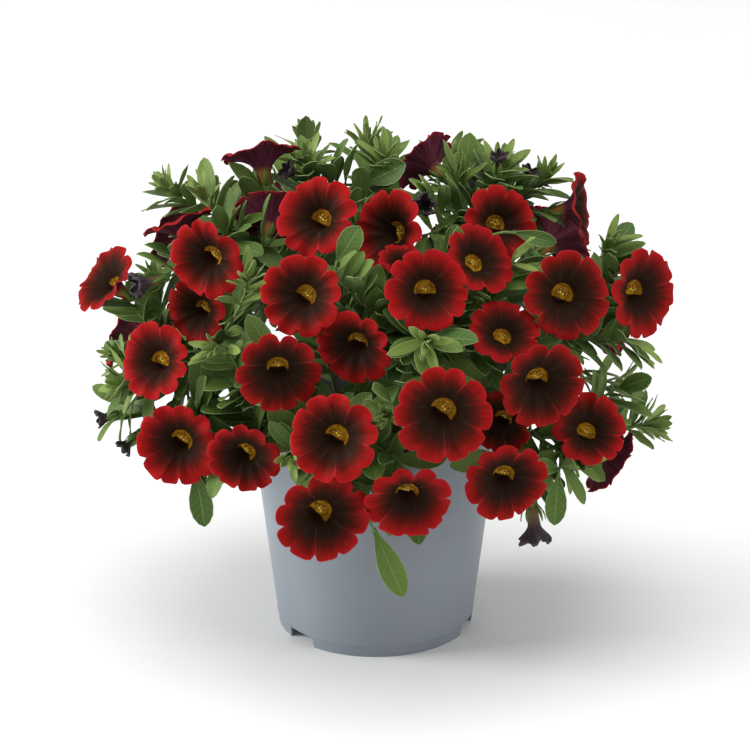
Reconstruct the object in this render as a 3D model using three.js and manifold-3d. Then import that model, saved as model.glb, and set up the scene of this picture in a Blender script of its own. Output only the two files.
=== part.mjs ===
// A calibrachoa in its nursery pot. Millimetres, +Z up. The origin is the centre of the pot's foot.
// The front is -Y. The plant rests in the soil, and the soil rests in the pot.

import * as THREE from 'three';
import { mergeVertices } from 'three/addons/utils/BufferGeometryUtils.js';
import Module from 'manifold-3d';

// ---- Pot ----------------------------------------------------------------------------------------
const POT_HEIGHT = 106;
const POT_FOOT_RADIUS = 47.4;
const POT_FLARE = 0.1208;             // growth of the outer radius per millimetre of height
const POT_WALL = 1.5;
const POT_FLOOR = 5.5;                // height of the underside of the floor over the foot's edge
const POT_FLOOR_THICKNESS = 1.8;
const POT_SIDES = 32;
const RIM_HEIGHT = 12;                // band round the mouth
const RIM_STEP = 1.2;                 // how far the band stands out
const RIM_SLOPE = 0.8;
const NOTCH_AZIMUTHS = [-49, 71, 191]; // degrees from the front, towards +X
const NOTCH_HALF_WIDTH = 9.4;
const NOTCH_TAPER = 1.2;
const NOTCH_INNER_RADIUS = 36;
const NOTCH_DEPTH = 20;
const DRAIN_COUNT = 6;
const DRAIN_SIDES = 8;
const DRAIN_RADIUS = 4;
const DRAIN_RING = 27;
const OVERRUN = 1;                    // how far a cutter reaches past what it cuts

// ---- Soil ---------------------------------------------------------------------------------------
const CLEARANCE = 0.3;                // gap between pieces that touch
const SOIL_TOP = 93;
const SOIL_CROWN = 3;                 // the soil stands this much higher in the middle
const SOIL_SIDES = 16;
const HOLE_DEPTH = 16;
const HOLE_RADIUS = 2.1;
const HOLE_SIDES = 5;

// ---- Blooms: a row is the middle of the face x, y, z, then yaw, pitch, size and roll ------------
// Yaw turns the face from the front towards +X and pitch turns it up, in degrees.
const BLOOMS = [
  [-127, -25, 185, -65, 40, 0.92, 10],
  [-77, -64, 208, -27, 0, 0.94, 40],
  [-83, -50, 178, -37, 5, 0.84, 20],
  [-102, -66, 160, -33, 22, 0.95, 5],
  [-91, -78, 123, -15, 3, 1.02, 30],
  [-60, -92, 122, -8, -9, 0.90, 50],
  [-27, -62, 228, -25, 30, 0.97, 15],
  [5, -58, 220, -42, 22, 1.0, 60],
  [-33, -92, 201, -16, 20, 0.97, 33],
  [-10, -98, 178, -21, -10, 0.92, 12],
  [-43, -108, 170, 6, -5, 0.98, 0],
  [-19, -124, 145, -15, 12, 1.06, 25],
  [-24, -112, 101, 11, -3, 1.12, 48],
  [15, -110, 108, 6, -20, 1.04, 8],
  [30, -126, 157, 0, 4, 1.14, 36],
  [59, -108, 117, 9, -9, 1.0, 18],
  [23, -100, 206, 9, 18, 0.97, 3],
  [57, -50, 221, 24, 26, 0.9, 22],
  [47, -76, 213, 40, 40, 0.88, 55],
  [87, -78, 196, 22, 17, 1.06, 28],
  [125, -36, 182, 42, 10, 1.08, 14],
  [58, -92, 184, 18, 48, 0.84, 42],
  [75, -102, 162, 20, -4, 1.06, 9],
  [98, -80, 132, 16, 38, 0.9, 31],
  [56, -91, 139, -24, -5, 0.8, 19],
  [-54, 6, 237, -160, 62, 0.95, 11],
  [-49, -26, 216, 175, 25, 0.9, 37],
  [-92, -26, 214, -130, 62, 0.86, 26],
  [23, 10, 232, -134, 25, 0.86, 7],
  [12, -81, 214, 30, 65, 0.56, 44],
  [97, -8, 214, 80, 10, 0.92, 52],
  [112, -6, 157, 75, 15, 0.86, 17],
  [110, -48, 101, 95, -40, 0.9, 34],
  [-100, 66, 176, -125, 20, 1.0, 21],
  [-48, 104, 176, -158, 22, 1.02, 6],
  [46, 112, 152, 160, 12, 1.04, 47],
  [92, 76, 172, 130, 22, 0.98, 29],
  [114, 60, 134, 118, 4, 1.0, 13],
  [-76, 98, 124, -143, 2, 0.96, 39],
  [0, 108, 178, 178, 26, 0.94, 51],
  [-124, 22, 142, -100, 12, 0.98, 2],
];
// At the back some blooms press into a neighbour. A row starts with the number of that neighbour.
const PRESSED_BLOOMS = [
  [34, -87, 81, 163, -134, 14, 0.94, 15],
  [35, -38, 116, 148, -164, 8, 0.96, 30],
  [36, 58, 106, 126, 152, -4, 0.98, 10],
  [37, 69, 90, 177, 146, 28, 0.92, 35],
  [38, 120, 36, 151, 106, 10, 0.9, 20],
  [39, -98, 81, 122, -130, 4, 0.95, 5],
  [40, 3, 119, 157, 176, 8, 0.9, 25],
  [41, -119, 45, 121, -112, -6, 0.92, 40],
];
const RIM_RADIUS = 19.6;              // of a bloom of size 1
const RIM_LEVEL = 17;                 // height of the face over the base of the tube
const THROAT_RADIUS = 4.2;
const THROAT_LEVEL = 13.4;
const THROAT_FLOOR = 7;
const COLLAR_RADIUS = 5.3;
const COLLAR_LEVEL = 12;
const TUBE_RADIUS = 1.9;
const LOBES = 5;
const RIM_POINTS = 20;                // four to a lobe: cleft, scallop, notch, scallop
const SCALLOPS = [0.87, 1, 0.955, 1];
const SCALLOP_LIFT = [0.8, -0.6, 0.2, -0.6];

// ---- Withered flowers: rows as for the blooms ---------------------------------------------------
const WITHERED = [
  [-110, -52, 191, -60, -5, 0.9, 0],
  [74, -85, 78, 20, -72, 1.1, 20],
  [22, -48, 229, -10, 30, 0.85, 40],
];
const WITHERED_RADIUS = 6.5;
const WITHERED_LEVEL = 15;
const WITHERED_WAIST = 2.6;
const WITHERED_WAIST_LEVEL = 9;
const WITHERED_HOLLOW = 2;            // how far its middle stands over the waist
const WITHERED_RAGGED = 0.22;         // change of the mouth's radius, as a share
const WITHERED_RAG_TURN = 2.6;        // radians from one side to the next
const WITHERED_SIDES = 7;

// ---- Spent buds: small withered flowers that stay joined to their twig. Rows as for the blooms --
const SPENT_BUDS = [
  [-130, -40, 120, -75, -10, 0.64, 0],
  [-119, -42, 106, -60, -35, 0.64, 30],
  [57, -14, 242, 0, 75, 0.64, 10],
  [73, 0, 230, 70, 55, 0.64, 20],
  [-42, -2, 231, -60, 30, 0.7, 40],
];
const SPENT_OVERLAP = 2;              // how far a twig runs into its bud

// ---- Main stems: the foot x, y, the tip x, y, z, the tip's yaw and pitch, and its leaves' length
const STEMS = [
  [-9, 7, -32, 8, 232, -30, 70, 19],
  [3, 10, 5, 3, 236, 10, 75, 19],
  [14, 6, 58, -4, 232, 40, 68, 20],
  [-17, -1, -79, -18, 222, -70, 60, 19],
  [-22, -9, -116, -42, 140, -70, 5, 21],
  [-14, -18, -68, -72, 116, -60, -20, 19],
  [-3, -24, -38, -96, 126, -20, 5, 18],
  [9, -21, 23, -110, 186, 10, 15, 20],
  [20, -14, 92, -70, 112, 45, -8, 21],
  [24, -2, 120, -40, 160, 65, 10, 22],
  [18, 12, 84, 85, 165, 135, 30, 20],
  [1, 24, -2, 112, 150, 180, 20, 20],
  [-18, 15, -70, 66, 190, -135, 40, 20],
];
const STEM_FOOT_TOP = SOIL_TOP + SOIL_CROWN + 1; // a stem is straight up to here
const STEM_RISE = 62;                 // reach of the upright start of a stem
const STEM_FULL_SPAN = 110;           // a stem of a shorter span rises less
const STEM_REACH = 0.34;              // reach of its end, as a share of its span
const STEM_RADIUS = 1.4;
const STEM_TIP_RADIUS = 0.85;
const STEM_SIDES = 4;
const STEM_STEPS = 8;                 // the first one is the foot in the soil

// ---- Side shoots: the tip x, y, z, its yaw and pitch, and its leaves' length --------------------
const SHOOTS = [
  [80, 4, 224, 60, 50, 17],
  [38, -4, 228, -30, 70, 17],
  [-58, -72, 200, 20, 75, 21],
  [-72, -74, 170, -60, 20, 17],
  [63, -66, 212, 30, 75, 20],
  [108, -22, 202, 40, 65, 19],
  [127, -36, 116, 75, 15, 22],
  [-120, -28, 148, -80, 35, 15],
  [5, -114, 152, -10, 10, 12],
  [-104, -24, 186, -60, 60, 15],
  [-100, 45, 206, -115, 40, 19],
  [36, 96, 206, 160, 40, 20],
  [-32, 82, 216, -160, 55, 19],
  [120, 28, 172, 100, 20, 20],
  [24, 112, 118, 172, -5, 19],
  [-30, 111, 122, -170, 5, 19],
  [82, 96, 132, 140, 5, 19],
  [-96, 70, 106, -130, -10, 19],
  [118, 22, 112, 100, 0, 20],
  [-4, 44, 229, 180, 75, 18],
  [-36, 46, 210, -150, 70, 19],
  [38, 46, 208, 150, 70, 19],
];
const SHOOT_LEAVES = 6;
const SHOOT_SPREAD = [26, 62];        // degrees between a shoot and its inner and outer leaves
const SHOOT_STEP = 1.1;               // distance between its leaves
const SHOOT_INSET = 0.2;              // from the end to the first leaf
const SHOOT_LEAF_SIZE = [0.72, 1];    // of its inner and outer leaves, as shares of their length
const SHOOT_LEAF_VARIATION = [0.88, 1.12];
const SHOOT_LEAF_WIDTH = 0.24;        // as a share of the length
const SHOOT_LEAF_DROOP = 0.1;
const SHOOT_SEED = 40;

// ---- Single leaves: the root x, y, z, then the tip x, y, z and the width ------------------------
const LONG_LEAVES = [
  [-83, -75, 110, -79, -78, 82, 11],
  [-1, -84, 84, 13, -90, 52, 12],
  [-18, -78, 211, -7, -82, 230, 11],
  [-84, -62, 137, -78, -66, 165, 11],
  [84, -85, 112, 82, -90, 88, 10],
  [17, -82, 100, 20, -94, 80, 10],
  [62, -60, 220, 82, -64, 216, 7],
  [-6, -2, 224, 14, -12, 237, 12],
  [112, -44, 137, 128, -52, 146, 9],
];

// ---- Twigs and leaves ---------------------------------------------------------------------------
const TWIG_SIDES = 3;
const TWIG_STATIONS = [[0, 0], [0.07, 0.85], [0.5, 0.85], [1, 0.85]]; // place as a share, and radius
const TWIG_RUN = 26;                  // straight run that a twig wants behind its end
const TWIG_FIRST = 0.3;               // lowest place on a stem where a twig starts
const TWIG_LAST = 0.86;
const TWIG_PLACES = 12;
const TWIG_CHOICES = 32;
const TWIG_OVERLAP = 2;               // how far a twig runs into a single leaf
const TWIG_BOWS = [[0, 0], [8, 0], [-8, 0], [0, 8], [0, -8], [16, 0], [-16, 0]];
const CALYX_LENGTH = 3.6;
const CALYX_RADIUS = 2.6;
const CALYX_BOTTOM_RADIUS = 1.8;
const CALYX_LEAST = 0.8;              // a small bloom has the calyx of this size
const CALYX_CLEFT = [2.9, 0.6];       // radius and height of the cup between its sepals
const SEPAL_TIP = [6.4, 7.2];         // radius and height of a sepal's tip over the tube's base
const LEAF_SPACING_ON_STEM = 15;
const LEAF_SPACING_ON_TWIG = 36;
const LEAVES_ON_STEM = [0.3, 0.97];   // first and last place, as shares
const LEAVES_ON_TWIG = [0.2, 0.85];
const LEAF_LENGTH = [23, 32];
const LEAF_WIDTH = [0.33, 0.41];      // as a share of the length
const LEAF_THICKNESS = 1;
const LEAF_KEEL = 2 / 3;              // share of the thickness that lies below the middle
const LEAF_NARROW = 0.25;             // a leaf thins where its width is a smaller share than this
const LEAF_TURN = 137.5;
const LEAF_TURN_CHOICES = [0, 35, -35, 75, -75, 120, -120, 165];
const LEAF_SIZE_CHOICES = [1, 0.74];
const LEAF_SPREAD = 58;               // degrees from the axis
const LEAF_LIFT = 0.3;                // turn upwards and outwards
const LEAF_FACE_UP = 0.8;             // turn of its upper face upwards, against 1 outwards
const LEAF_DROOP = 0.16;
const LEAF_FOLD = 0.06;               // rise of its edges, as a share of their distance
const LEAF_SECTION_SIDES = 3;         // two edges and a keel
const SINGLE_BLADE = [[0, 0], [0.12, 0.17], [0.42, 0.94], [0.76, 0.86], [1, 0]]; // place, width as shares
const BLADE = [[0, 0], [0.12, 0.17], [0.54, 1.06], [1, 0]];
const YOUNG_BLADE = [[0, 0], [0.5, 1], [1, 0]];
const STEM_LEAF_SEED = 140;
const TWIG_LEAF_SEED = 240;
const CROWN_CENTRE = new THREE.Vector3(0, 0, 140);

// ---- Free room in front of the faces ------------------------------------------------------------
const LEAF_CLEARANCE = 0.28;
const VIEW_ROOM = 0.74;               // share of a face that nothing stands in front of
const VIEW_DEPTH = 8;
const VIEW_GAP = 1;
const VIEW_SIDES = 8;
const FRONT_DEPTH = 60;
const FRONT_PITCH = 21;
const FRONT_FACING = 0.7;
const HALF_OPEN = 0.7;                // smaller blooms may stand in front of a face
const ROUNDING = 3e-4;
const MERGE = 1e-4;                   // corners closer than this are one
const TIDY = 0.05;                    // edges shorter than this are collapsed after a join

const COLOURS = {
  pot: [0x98a0aa, 0.45],
  soil: [0x2b211b, 0.95],
  leafy_stem: [0x4d7a38, 0.6],
  bloom: [0xa3141c, 0.6],
  withered: [0x33242c, 0.8],
};

const UP = new THREE.Vector3(0, 0, 1);
const DEGREE = Math.PI / 180;
const FULL_TURN = Math.PI * 2;

const wasm = await Module();
wasm.setup();

// ---- Solids -------------------------------------------------------------------------------------

// A closed geometry as a solid: shared corners are merged and collapsed triangles are left out.
function solidOf(geometry) {
  const bare = geometry.clone();
  bare.deleteAttribute('normal');
  bare.deleteAttribute('uv');
  const merged = mergeVertices(bare, MERGE);
  const places = merged.attributes.position;
  const corners = [];
  let volume = 0;
  const [a, b, c] = [new THREE.Vector3(), new THREE.Vector3(), new THREE.Vector3()];
  for (let i = 0; i < merged.index.count; i += 3) {
    const trio = [0, 1, 2].map((k) => merged.index.getX(i + k));
    if (new Set(trio).size < 3) continue;
    corners.push(trio);
    a.fromBufferAttribute(places, trio[0]);
    b.fromBufferAttribute(places, trio[1]);
    c.fromBufferAttribute(places, trio[2]);
    volume += a.dot(b.cross(c));
  }
  const outward = volume > 0 ? corners : corners.map((trio) => [...trio].reverse());
  const triVerts = Uint32Array.from(outward.flat());
  const vertProperties = Float32Array.from(places.array);
  return new wasm.Manifold(new wasm.Mesh({ numProp: 3, vertProperties, triVerts }));
}

// A solid as a geometry. Hollows and loose scraps that a join leaves are dropped.
function geometryOf(solid) {
  const pieces = solid.decompose();
  const body = pieces.reduce((largest, piece) => (piece.volume() > largest.volume() ? piece : largest));
  const mesh = body.getMesh();
  const geometry = new THREE.BufferGeometry();
  geometry.setAttribute('position', new THREE.BufferAttribute(new Float32Array(mesh.vertProperties), 3));
  geometry.setIndex(new THREE.BufferAttribute(new Uint32Array(mesh.triVerts), 1));
  geometry.computeVertexNormals();
  return geometry;
}

// A list of points turned about +Z.
function lathe(points, sides) {
  const outline = points.map(([radius, height]) => new THREE.Vector2(radius, height));
  return solidOf(new THREE.LatheGeometry(outline, sides).rotateX(Math.PI / 2));
}

function uprightCylinder(radius, sides, x, y, bottom, top) {
  const geometry = new THREE.CylinderGeometry(radius, radius, top - bottom, sides);
  geometry.rotateX(Math.PI / 2);
  geometry.translate(x, y, (bottom + top) / 2);
  return solidOf(geometry);
}

// ---- Directions and curves ----------------------------------------------------------------------

function facing(yaw, pitch) {
  const flat = Math.cos(pitch * DEGREE);
  return new THREE.Vector3(
    Math.sin(yaw * DEGREE) * flat,
    -Math.cos(yaw * DEGREE) * flat,
    Math.sin(pitch * DEGREE),
  );
}

// Two directions square to an axis, turned about it by an angle in degrees.
function frameOf(axis, turn = 0) {
  const level = new THREE.Vector3().crossVectors(axis, UP).normalize();
  const rise = new THREE.Vector3().crossVectors(level, axis).normalize();
  const side = level.clone().multiplyScalar(Math.cos(turn * DEGREE));
  side.addScaledVector(rise, Math.sin(turn * DEGREE));
  const lift = new THREE.Vector3().crossVectors(axis, side);
  return { side, lift };
}

// Two directions square to a curve at a place on it. The first keeps close to a fixed one.
function frameOn(curve, place, level) {
  const along = curve.getTangent(place);
  const side = level.clone().addScaledVector(along, -along.dot(level)).normalize();
  const lift = new THREE.Vector3().crossVectors(along, side);
  return { along, side, lift };
}

function offset(point, direction, distance) {
  return point.clone().addScaledVector(direction, distance);
}

function lerp([low, high], share) {
  return low + (high - low) * share;
}

// The mulberry32 generator: the same run of draws from 0 to 1 for the same seed.
function seeded(seed) {
  let state = seed >>> 0;
  return () => {
    state = (state + 0x6d2b79f5) >>> 0;
    let mixed = Math.imul(state ^ (state >>> 15), state | 1);
    mixed ^= mixed + Math.imul(mixed ^ (mixed >>> 7), mixed | 61);
    return ((mixed ^ (mixed >>> 14)) >>> 0) / 4294967296;
  };
}

// ---- Plant pieces -------------------------------------------------------------------------------

// A tube along a curve: a cylinder whose rings are carried onto it. A station is a place and a radius.
function tube(curve, level, stations, sides) {
  const steps = stations.length - 1;
  const geometry = new THREE.CylinderGeometry(1, 1, 1, sides, steps);
  const places = geometry.attributes.position;
  for (let i = 0; i < places.count; i += 1) {
    const [share, radius] = stations[Math.round((places.getY(i) + 0.5) * steps)];
    const { side, lift } = frameOn(curve, share, level);
    const point = curve.getPoint(share);
    point.addScaledVector(side, places.getZ(i) * radius);
    point.addScaledVector(lift, places.getX(i) * radius);
    places.setXYZ(i, point.x, point.y, point.z);
  }
  return solidOf(geometry);
}

// A leaf: a blade with a keel below, arched and pointed. Its root is a point inside the stem.
function leafSolid(leaf, blade) {
  const steps = blade.length - 1;
  const geometry = new THREE.CylinderGeometry(0, 0, 1, LEAF_SECTION_SIDES, steps, true);
  const side = new THREE.Vector3().crossVectors(leaf.along, leaf.normal);
  const { position, uv } = geometry.attributes;
  for (let i = 0; i < position.count; i += 1) {
    const [share, spread] = blade[Math.round(uv.getY(i) * steps)];
    const angle = uv.getX(i) * FULL_TURN;
    const across = (Math.sin(angle) / Math.sin(FULL_TURN / 3)) * (leaf.width / 2) * spread;
    const depth = Math.cos(angle) * LEAF_THICKNESS * Math.min(1, spread / LEAF_NARROW) * LEAF_KEEL;
    const point = offset(leaf.root, leaf.along, leaf.length * share);
    point.addScaledVector(side, across);
    point.addScaledVector(leaf.normal, LEAF_FOLD * Math.abs(across) - depth);
    point.addScaledVector(leaf.normal, -leaf.droop * leaf.length * share ** 2);
    position.setXYZ(i, point.x, point.y, point.z);
  }
  return solidOf(geometry);
}

// A trumpet on +Y with its tube's base at the origin: five lobes with a notch in each.
function bloomGeometry(size) {
  const rings = [
    [0, THROAT_FLOOR],
    [THROAT_RADIUS, THROAT_LEVEL],
    [RIM_RADIUS, RIM_LEVEL],
    [COLLAR_RADIUS, COLLAR_LEVEL],
    [TUBE_RADIUS, 0],
    [0, 0],
  ];
  const outline = rings.map(([radius, level]) => new THREE.Vector2(radius, level));
  const geometry = new THREE.LatheGeometry(outline, RIM_POINTS);
  const places = geometry.attributes.position;
  const pointsPerLobe = RIM_POINTS / LOBES;
  for (let i = 0; i < places.count; i += 1) {
    const ring = i % rings.length;
    const step = Math.floor(i / rings.length) % RIM_POINTS;
    const onRim = rings[ring][0] === RIM_RADIUS;
    const lobeStep = step % pointsPerLobe;
    const turn = onRim ? step / RIM_POINTS : Math.round(step / pointsPerLobe) / LOBES;
    const radius = rings[ring][0] * (onRim ? SCALLOPS[lobeStep] : 1) * size;
    const level = (rings[ring][1] + (onRim ? SCALLOP_LIFT[lobeStep] : 0)) * size;
    const angle = turn * FULL_TURN;
    places.setXYZ(i, radius * Math.sin(angle), level, radius * Math.cos(angle));
  }
  return geometry;
}

// A shrivelled trumpet on +Y: a narrow waist and a small ragged mouth.
function witheredGeometry(size) {
  const rings = [
    [0, 0],
    [TUBE_RADIUS, 0],
    [WITHERED_WAIST, WITHERED_WAIST_LEVEL],
    [WITHERED_RADIUS, WITHERED_LEVEL],
    [0, WITHERED_WAIST_LEVEL + WITHERED_HOLLOW],
  ];
  const outline = rings.map(([radius, level]) => new THREE.Vector2(radius, level));
  const geometry = new THREE.LatheGeometry(outline, WITHERED_SIDES);
  const places = geometry.attributes.position;
  for (let i = 0; i < places.count; i += 1) {
    const step = Math.floor(i / rings.length) % WITHERED_SIDES;
    const onRim = rings[i % rings.length][0] === WITHERED_RADIUS;
    const ragged = onRim ? 1 + WITHERED_RAGGED * Math.sin(step * WITHERED_RAG_TURN) : 1;
    const scale = size * ragged;
    places.setXYZ(i, places.getX(i) * scale, places.getY(i) * size, places.getZ(i) * scale);
  }
  return geometry;
}

// ---- Flowers: where each one's tube starts ------------------------------------------------------

function flowerOf([x, y, z, yaw, pitch, size, roll], level) {
  const axis = facing(yaw, pitch);
  const face = new THREE.Vector3(x, y, z);
  const base = offset(face, axis, -level * size);
  const { side, lift } = frameOf(axis, roll);
  const turned = new THREE.Matrix4().makeBasis(side, axis, lift.negate());
  return { axis, face, base, size, turned };
}

function flowerSolid(flower, geometryFor) {
  const geometry = geometryFor(flower.size).applyMatrix4(flower.turned);
  return solidOf(geometry.translate(flower.base.x, flower.base.y, flower.base.z));
}

// One flower, with any that are pressed into it, as a mesh that stands at the first one's base.
function placeFlowers(group, flowers, geometryFor, name, look) {
  const solids = flowers.map((flower) => flowerSolid(flower, geometryFor));
  const joined = wasm.Manifold.union(solids);
  const [first] = flowers;
  const home = first.turned.clone().setPosition(first.base);
  const mesh = named(geometryOf(joined).applyMatrix4(home.clone().invert()), name, look);
  mesh.quaternion.setFromRotationMatrix(first.turned);
  mesh.position.copy(first.base);
  group.add(mesh);
  take(joined, { node: name });
}

function numberOf(index) {
  return String(index + 1).padStart(2, '0');
}

function named(geometry, name, look) {
  const [color, roughness] = COLOURS[look];
  const material = new THREE.MeshStandardMaterial({ color, roughness, metalness: 0 });
  const mesh = new THREE.Mesh(geometry, material);
  mesh.name = name;
  return mesh;
}

// ---- Room: what stands where, so that leaves and twigs keep clear -------------------------------

const taken = [];

function boxesMeet(a, b, margin) {
  return [0, 1, 2].every((k) => a.min[k] - margin < b.max[k] && b.min[k] - margin < a.max[k]);
}

// The owner says what a solid belongs to: its node, its axis if it is a stem or twig, its cluster if
// it is a leaf of a shoot, and whether it is only room that is kept free.
function take(solid, owner) {
  taken.push({ solid, ...owner, box: solid.boundingBox() });
}

// Stems and twigs of one node may meet. A leaf may meet its own axis and the leaves of its cluster.
function mayMeet(own, other) {
  if (own.through && other.room) return true;
  if (own.node !== other.node) return false;
  if (own.leafOf === undefined) return other.axis !== undefined;
  return own.leafOf === other.axis || (own.cluster !== undefined && own.cluster === other.cluster);
}

function isClear(solid, own) {
  const box = solid.boundingBox();
  return taken.every((other) => {
    if (mayMeet(own, other) || !boxesMeet(box, other.box, LEAF_CLEARANCE)) return true;
    return solid.minGap(other.solid, LEAF_CLEARANCE) >= LEAF_CLEARANCE - ROUNDING;
  });
}

// A short drum over a face that leaves and twigs stay out of.
function roomOver(flower, direction, depth) {
  const radius = RIM_RADIUS * flower.size * VIEW_ROOM;
  const geometry = new THREE.CylinderGeometry(radius, radius, depth, VIEW_SIDES);
  geometry.translate(0, depth / 2 + VIEW_GAP, 0);
  const { side, lift } = frameOf(direction);
  geometry.applyMatrix4(new THREE.Matrix4().makeBasis(side, direction, lift.negate()));
  geometry.translate(flower.face.x, flower.face.y, flower.face.z);
  return solidOf(geometry);
}

// ---- Pot ----------------------------------------------------------------------------------------

function potOuter(height) {
  return POT_FOOT_RADIUS + POT_FLARE * height;
}

function potInner(height) {
  return potOuter(height) - POT_WALL;
}

function buildPot() {
  const floorTop = POT_FLOOR + POT_FLOOR_THICKNESS;
  const band = POT_HEIGHT - RIM_HEIGHT;
  let pot = lathe([
    [0, POT_FLOOR],
    [potInner(POT_FLOOR), POT_FLOOR],
    [potInner(0), 0],
    [potOuter(0), 0],
    [potOuter(band), band],
    [potOuter(band) + RIM_STEP, band + RIM_SLOPE],
    [potOuter(POT_HEIGHT) + RIM_STEP, POT_HEIGHT - RIM_SLOPE],
    [potOuter(POT_HEIGHT) + RIM_STEP - RIM_SLOPE, POT_HEIGHT],
    [potInner(POT_HEIGHT) + RIM_STEP, POT_HEIGHT],
    [potInner(band) + RIM_STEP, band + POT_WALL],
    [potInner(band), band],
    [potInner(floorTop), floorTop],
    [0, floorTop],
  ], POT_SIDES);
  const notchLength = potOuter(POT_FLOOR) + OVERRUN - NOTCH_INNER_RADIUS;
  for (const azimuth of NOTCH_AZIMUTHS) {
    const outline = new THREE.Shape([
      new THREE.Vector2(-NOTCH_HALF_WIDTH, -NOTCH_DEPTH),
      new THREE.Vector2(NOTCH_HALF_WIDTH, -NOTCH_DEPTH),
      new THREE.Vector2(NOTCH_HALF_WIDTH, 0),
      new THREE.Vector2(NOTCH_HALF_WIDTH - NOTCH_TAPER, POT_FLOOR),
      new THREE.Vector2(-NOTCH_HALF_WIDTH + NOTCH_TAPER, POT_FLOOR),
      new THREE.Vector2(-NOTCH_HALF_WIDTH, 0),
    ]);
    const notch = new THREE.ExtrudeGeometry(outline, { depth: notchLength, bevelEnabled: false });
    notch.translate(0, 0, NOTCH_INNER_RADIUS);
    notch.rotateX(Math.PI / 2);
    notch.rotateZ(azimuth * DEGREE);
    pot = pot.subtract(solidOf(notch));
  }
  for (let i = 0; i < DRAIN_COUNT; i += 1) {
    const angle = (i / DRAIN_COUNT) * FULL_TURN;
    const [x, y] = [DRAIN_RING * Math.cos(angle), DRAIN_RING * Math.sin(angle)];
    const [bottom, top] = [POT_FLOOR - OVERRUN, floorTop + OVERRUN];
    pot = pot.subtract(uprightCylinder(DRAIN_RADIUS, DRAIN_SIDES, x, y, bottom, top));
  }
  return pot;
}

// ---- Soil ---------------------------------------------------------------------------------------

// The soil's corners keep clear of the flats of the pot's wall.
function soilRadius(height) {
  return potInner(height) * Math.cos(Math.PI / POT_SIDES) - CLEARANCE;
}

function buildSoil() {
  const bottom = POT_FLOOR + POT_FLOOR_THICKNESS + CLEARANCE;
  const top = SOIL_TOP + SOIL_CROWN;
  let soil = lathe([
    [0, bottom],
    [soilRadius(bottom), bottom],
    [soilRadius(SOIL_TOP), SOIL_TOP],
    [soilRadius(SOIL_TOP) / 2, top],
    [0, top],
  ], SOIL_SIDES);
  for (const [x, y] of STEMS) {
    soil = soil.subtract(uprightCylinder(HOLE_RADIUS, HOLE_SIDES, x, y, top - HOLE_DEPTH, top + OVERRUN));
  }
  return soil;
}

// ---- Main stems ---------------------------------------------------------------------------------

// A curve as straight runs between some places on it, so that what grows from it meets its solid.
class StraightRuns extends THREE.Curve {
  constructor(curve, places) {
    super();
    this.places = places;
    this.points = places.map((place) => curve.getPoint(place));
  }

  getPoint(share, target = new THREE.Vector3()) {
    const next = Math.max(1, this.places.findIndex((place) => place >= share));
    const [from, to] = [this.places[next - 1], this.places[next]];
    return target.lerpVectors(this.points[next - 1], this.points[next], (share - from) / (to - from));
  }
}

// A stem's curve with the straight foot that stands in the soil before it.
class RootedCurve extends THREE.Curve {
  constructor(bottom, curve) {
    super();
    this.bottom = bottom;
    this.curve = curve;
  }

  getPoint(share, target = new THREE.Vector3()) {
    const above = (share * STEM_STEPS - 1) / (STEM_STEPS - 1);
    if (above >= 0) return this.curve.getPoint(above, target);
    return target.lerpVectors(this.bottom, this.curve.getPoint(0), share * STEM_STEPS);
  }
}

function stemAxis([footX, footY, x, y, z, yaw, pitch]) {
  const foot = new THREE.Vector3(footX, footY, STEM_FOOT_TOP);
  const tip = new THREE.Vector3(x, y, z);
  const outward = facing(yaw, pitch);
  const span = foot.distanceTo(tip);
  const sweep = new THREE.CubicBezierCurve3(
    foot,
    offset(foot, UP, STEM_RISE * Math.min(1, span / STEM_FULL_SPAN)),
    offset(tip, outward, -span * STEM_REACH),
    tip,
  );
  const curve = new StraightRuns(sweep, Array.from({ length: STEM_STEPS }, (_, i) => i / (STEM_STEPS - 1)));
  const bottom = new THREE.Vector3(footX, footY, SOIL_TOP + SOIL_CROWN - HOLE_DEPTH + CLEARANCE);
  const level = new THREE.Vector3(-(y - footY), x - footX, 0).normalize();
  return { curve, rooted: new RootedCurve(bottom, curve), level, tipAxis: outward };
}

// ---- Twigs: from a stem to a flower, a shoot or a single leaf -----------------------------------

// The ways a twig can run to its end, the best first: from the nearest places on the stems.
function twigChoices(axes, end, endAxis) {
  const wish = offset(end, endAxis, -TWIG_RUN);
  const starts = [];
  axes.forEach((axis, stem) => {
    for (let i = 0; i <= TWIG_PLACES; i += 1) {
      const place = TWIG_FIRST + (TWIG_LAST - TWIG_FIRST) * (i / TWIG_PLACES);
      starts.push({ stem, place, distance: axis.curve.getPoint(place).distanceTo(wish) });
    }
  });
  starts.sort((a, b) => a.distance - b.distance);
  return starts.slice(0, TWIG_CHOICES).flatMap((start) => TWIG_BOWS.map((bow) => ({ ...start, bow })));
}

function twigAxis(axes, choice, end, endAxis) {
  const stem = axes[choice.stem];
  const start = stem.curve.getPoint(choice.place);
  const { along, side, lift } = frameOn(stem.curve, choice.place, stem.level);
  const span = start.distanceTo(end);
  const leave = offset(start, along, span / 3);
  const arrive = offset(end, endAxis, -span / 3);
  for (const handle of [leave, arrive]) {
    handle.addScaledVector(side, choice.bow[0]);
    handle.addScaledVector(lift, choice.bow[1]);
  }
  arrive.addScaledVector(side, -choice.bow[0]).addScaledVector(lift, -choice.bow[1]);
  const sweep = new THREE.CubicBezierCurve3(start, leave, arrive, end);
  const curve = new StraightRuns(sweep, TWIG_STATIONS.map(([place]) => place));
  const level = new THREE.Vector3().crossVectors(UP, offset(end, start, -1)).normalize();
  return { curve, level, tipAxis: endAxis };
}

// ---- Leaves -------------------------------------------------------------------------------------

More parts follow.
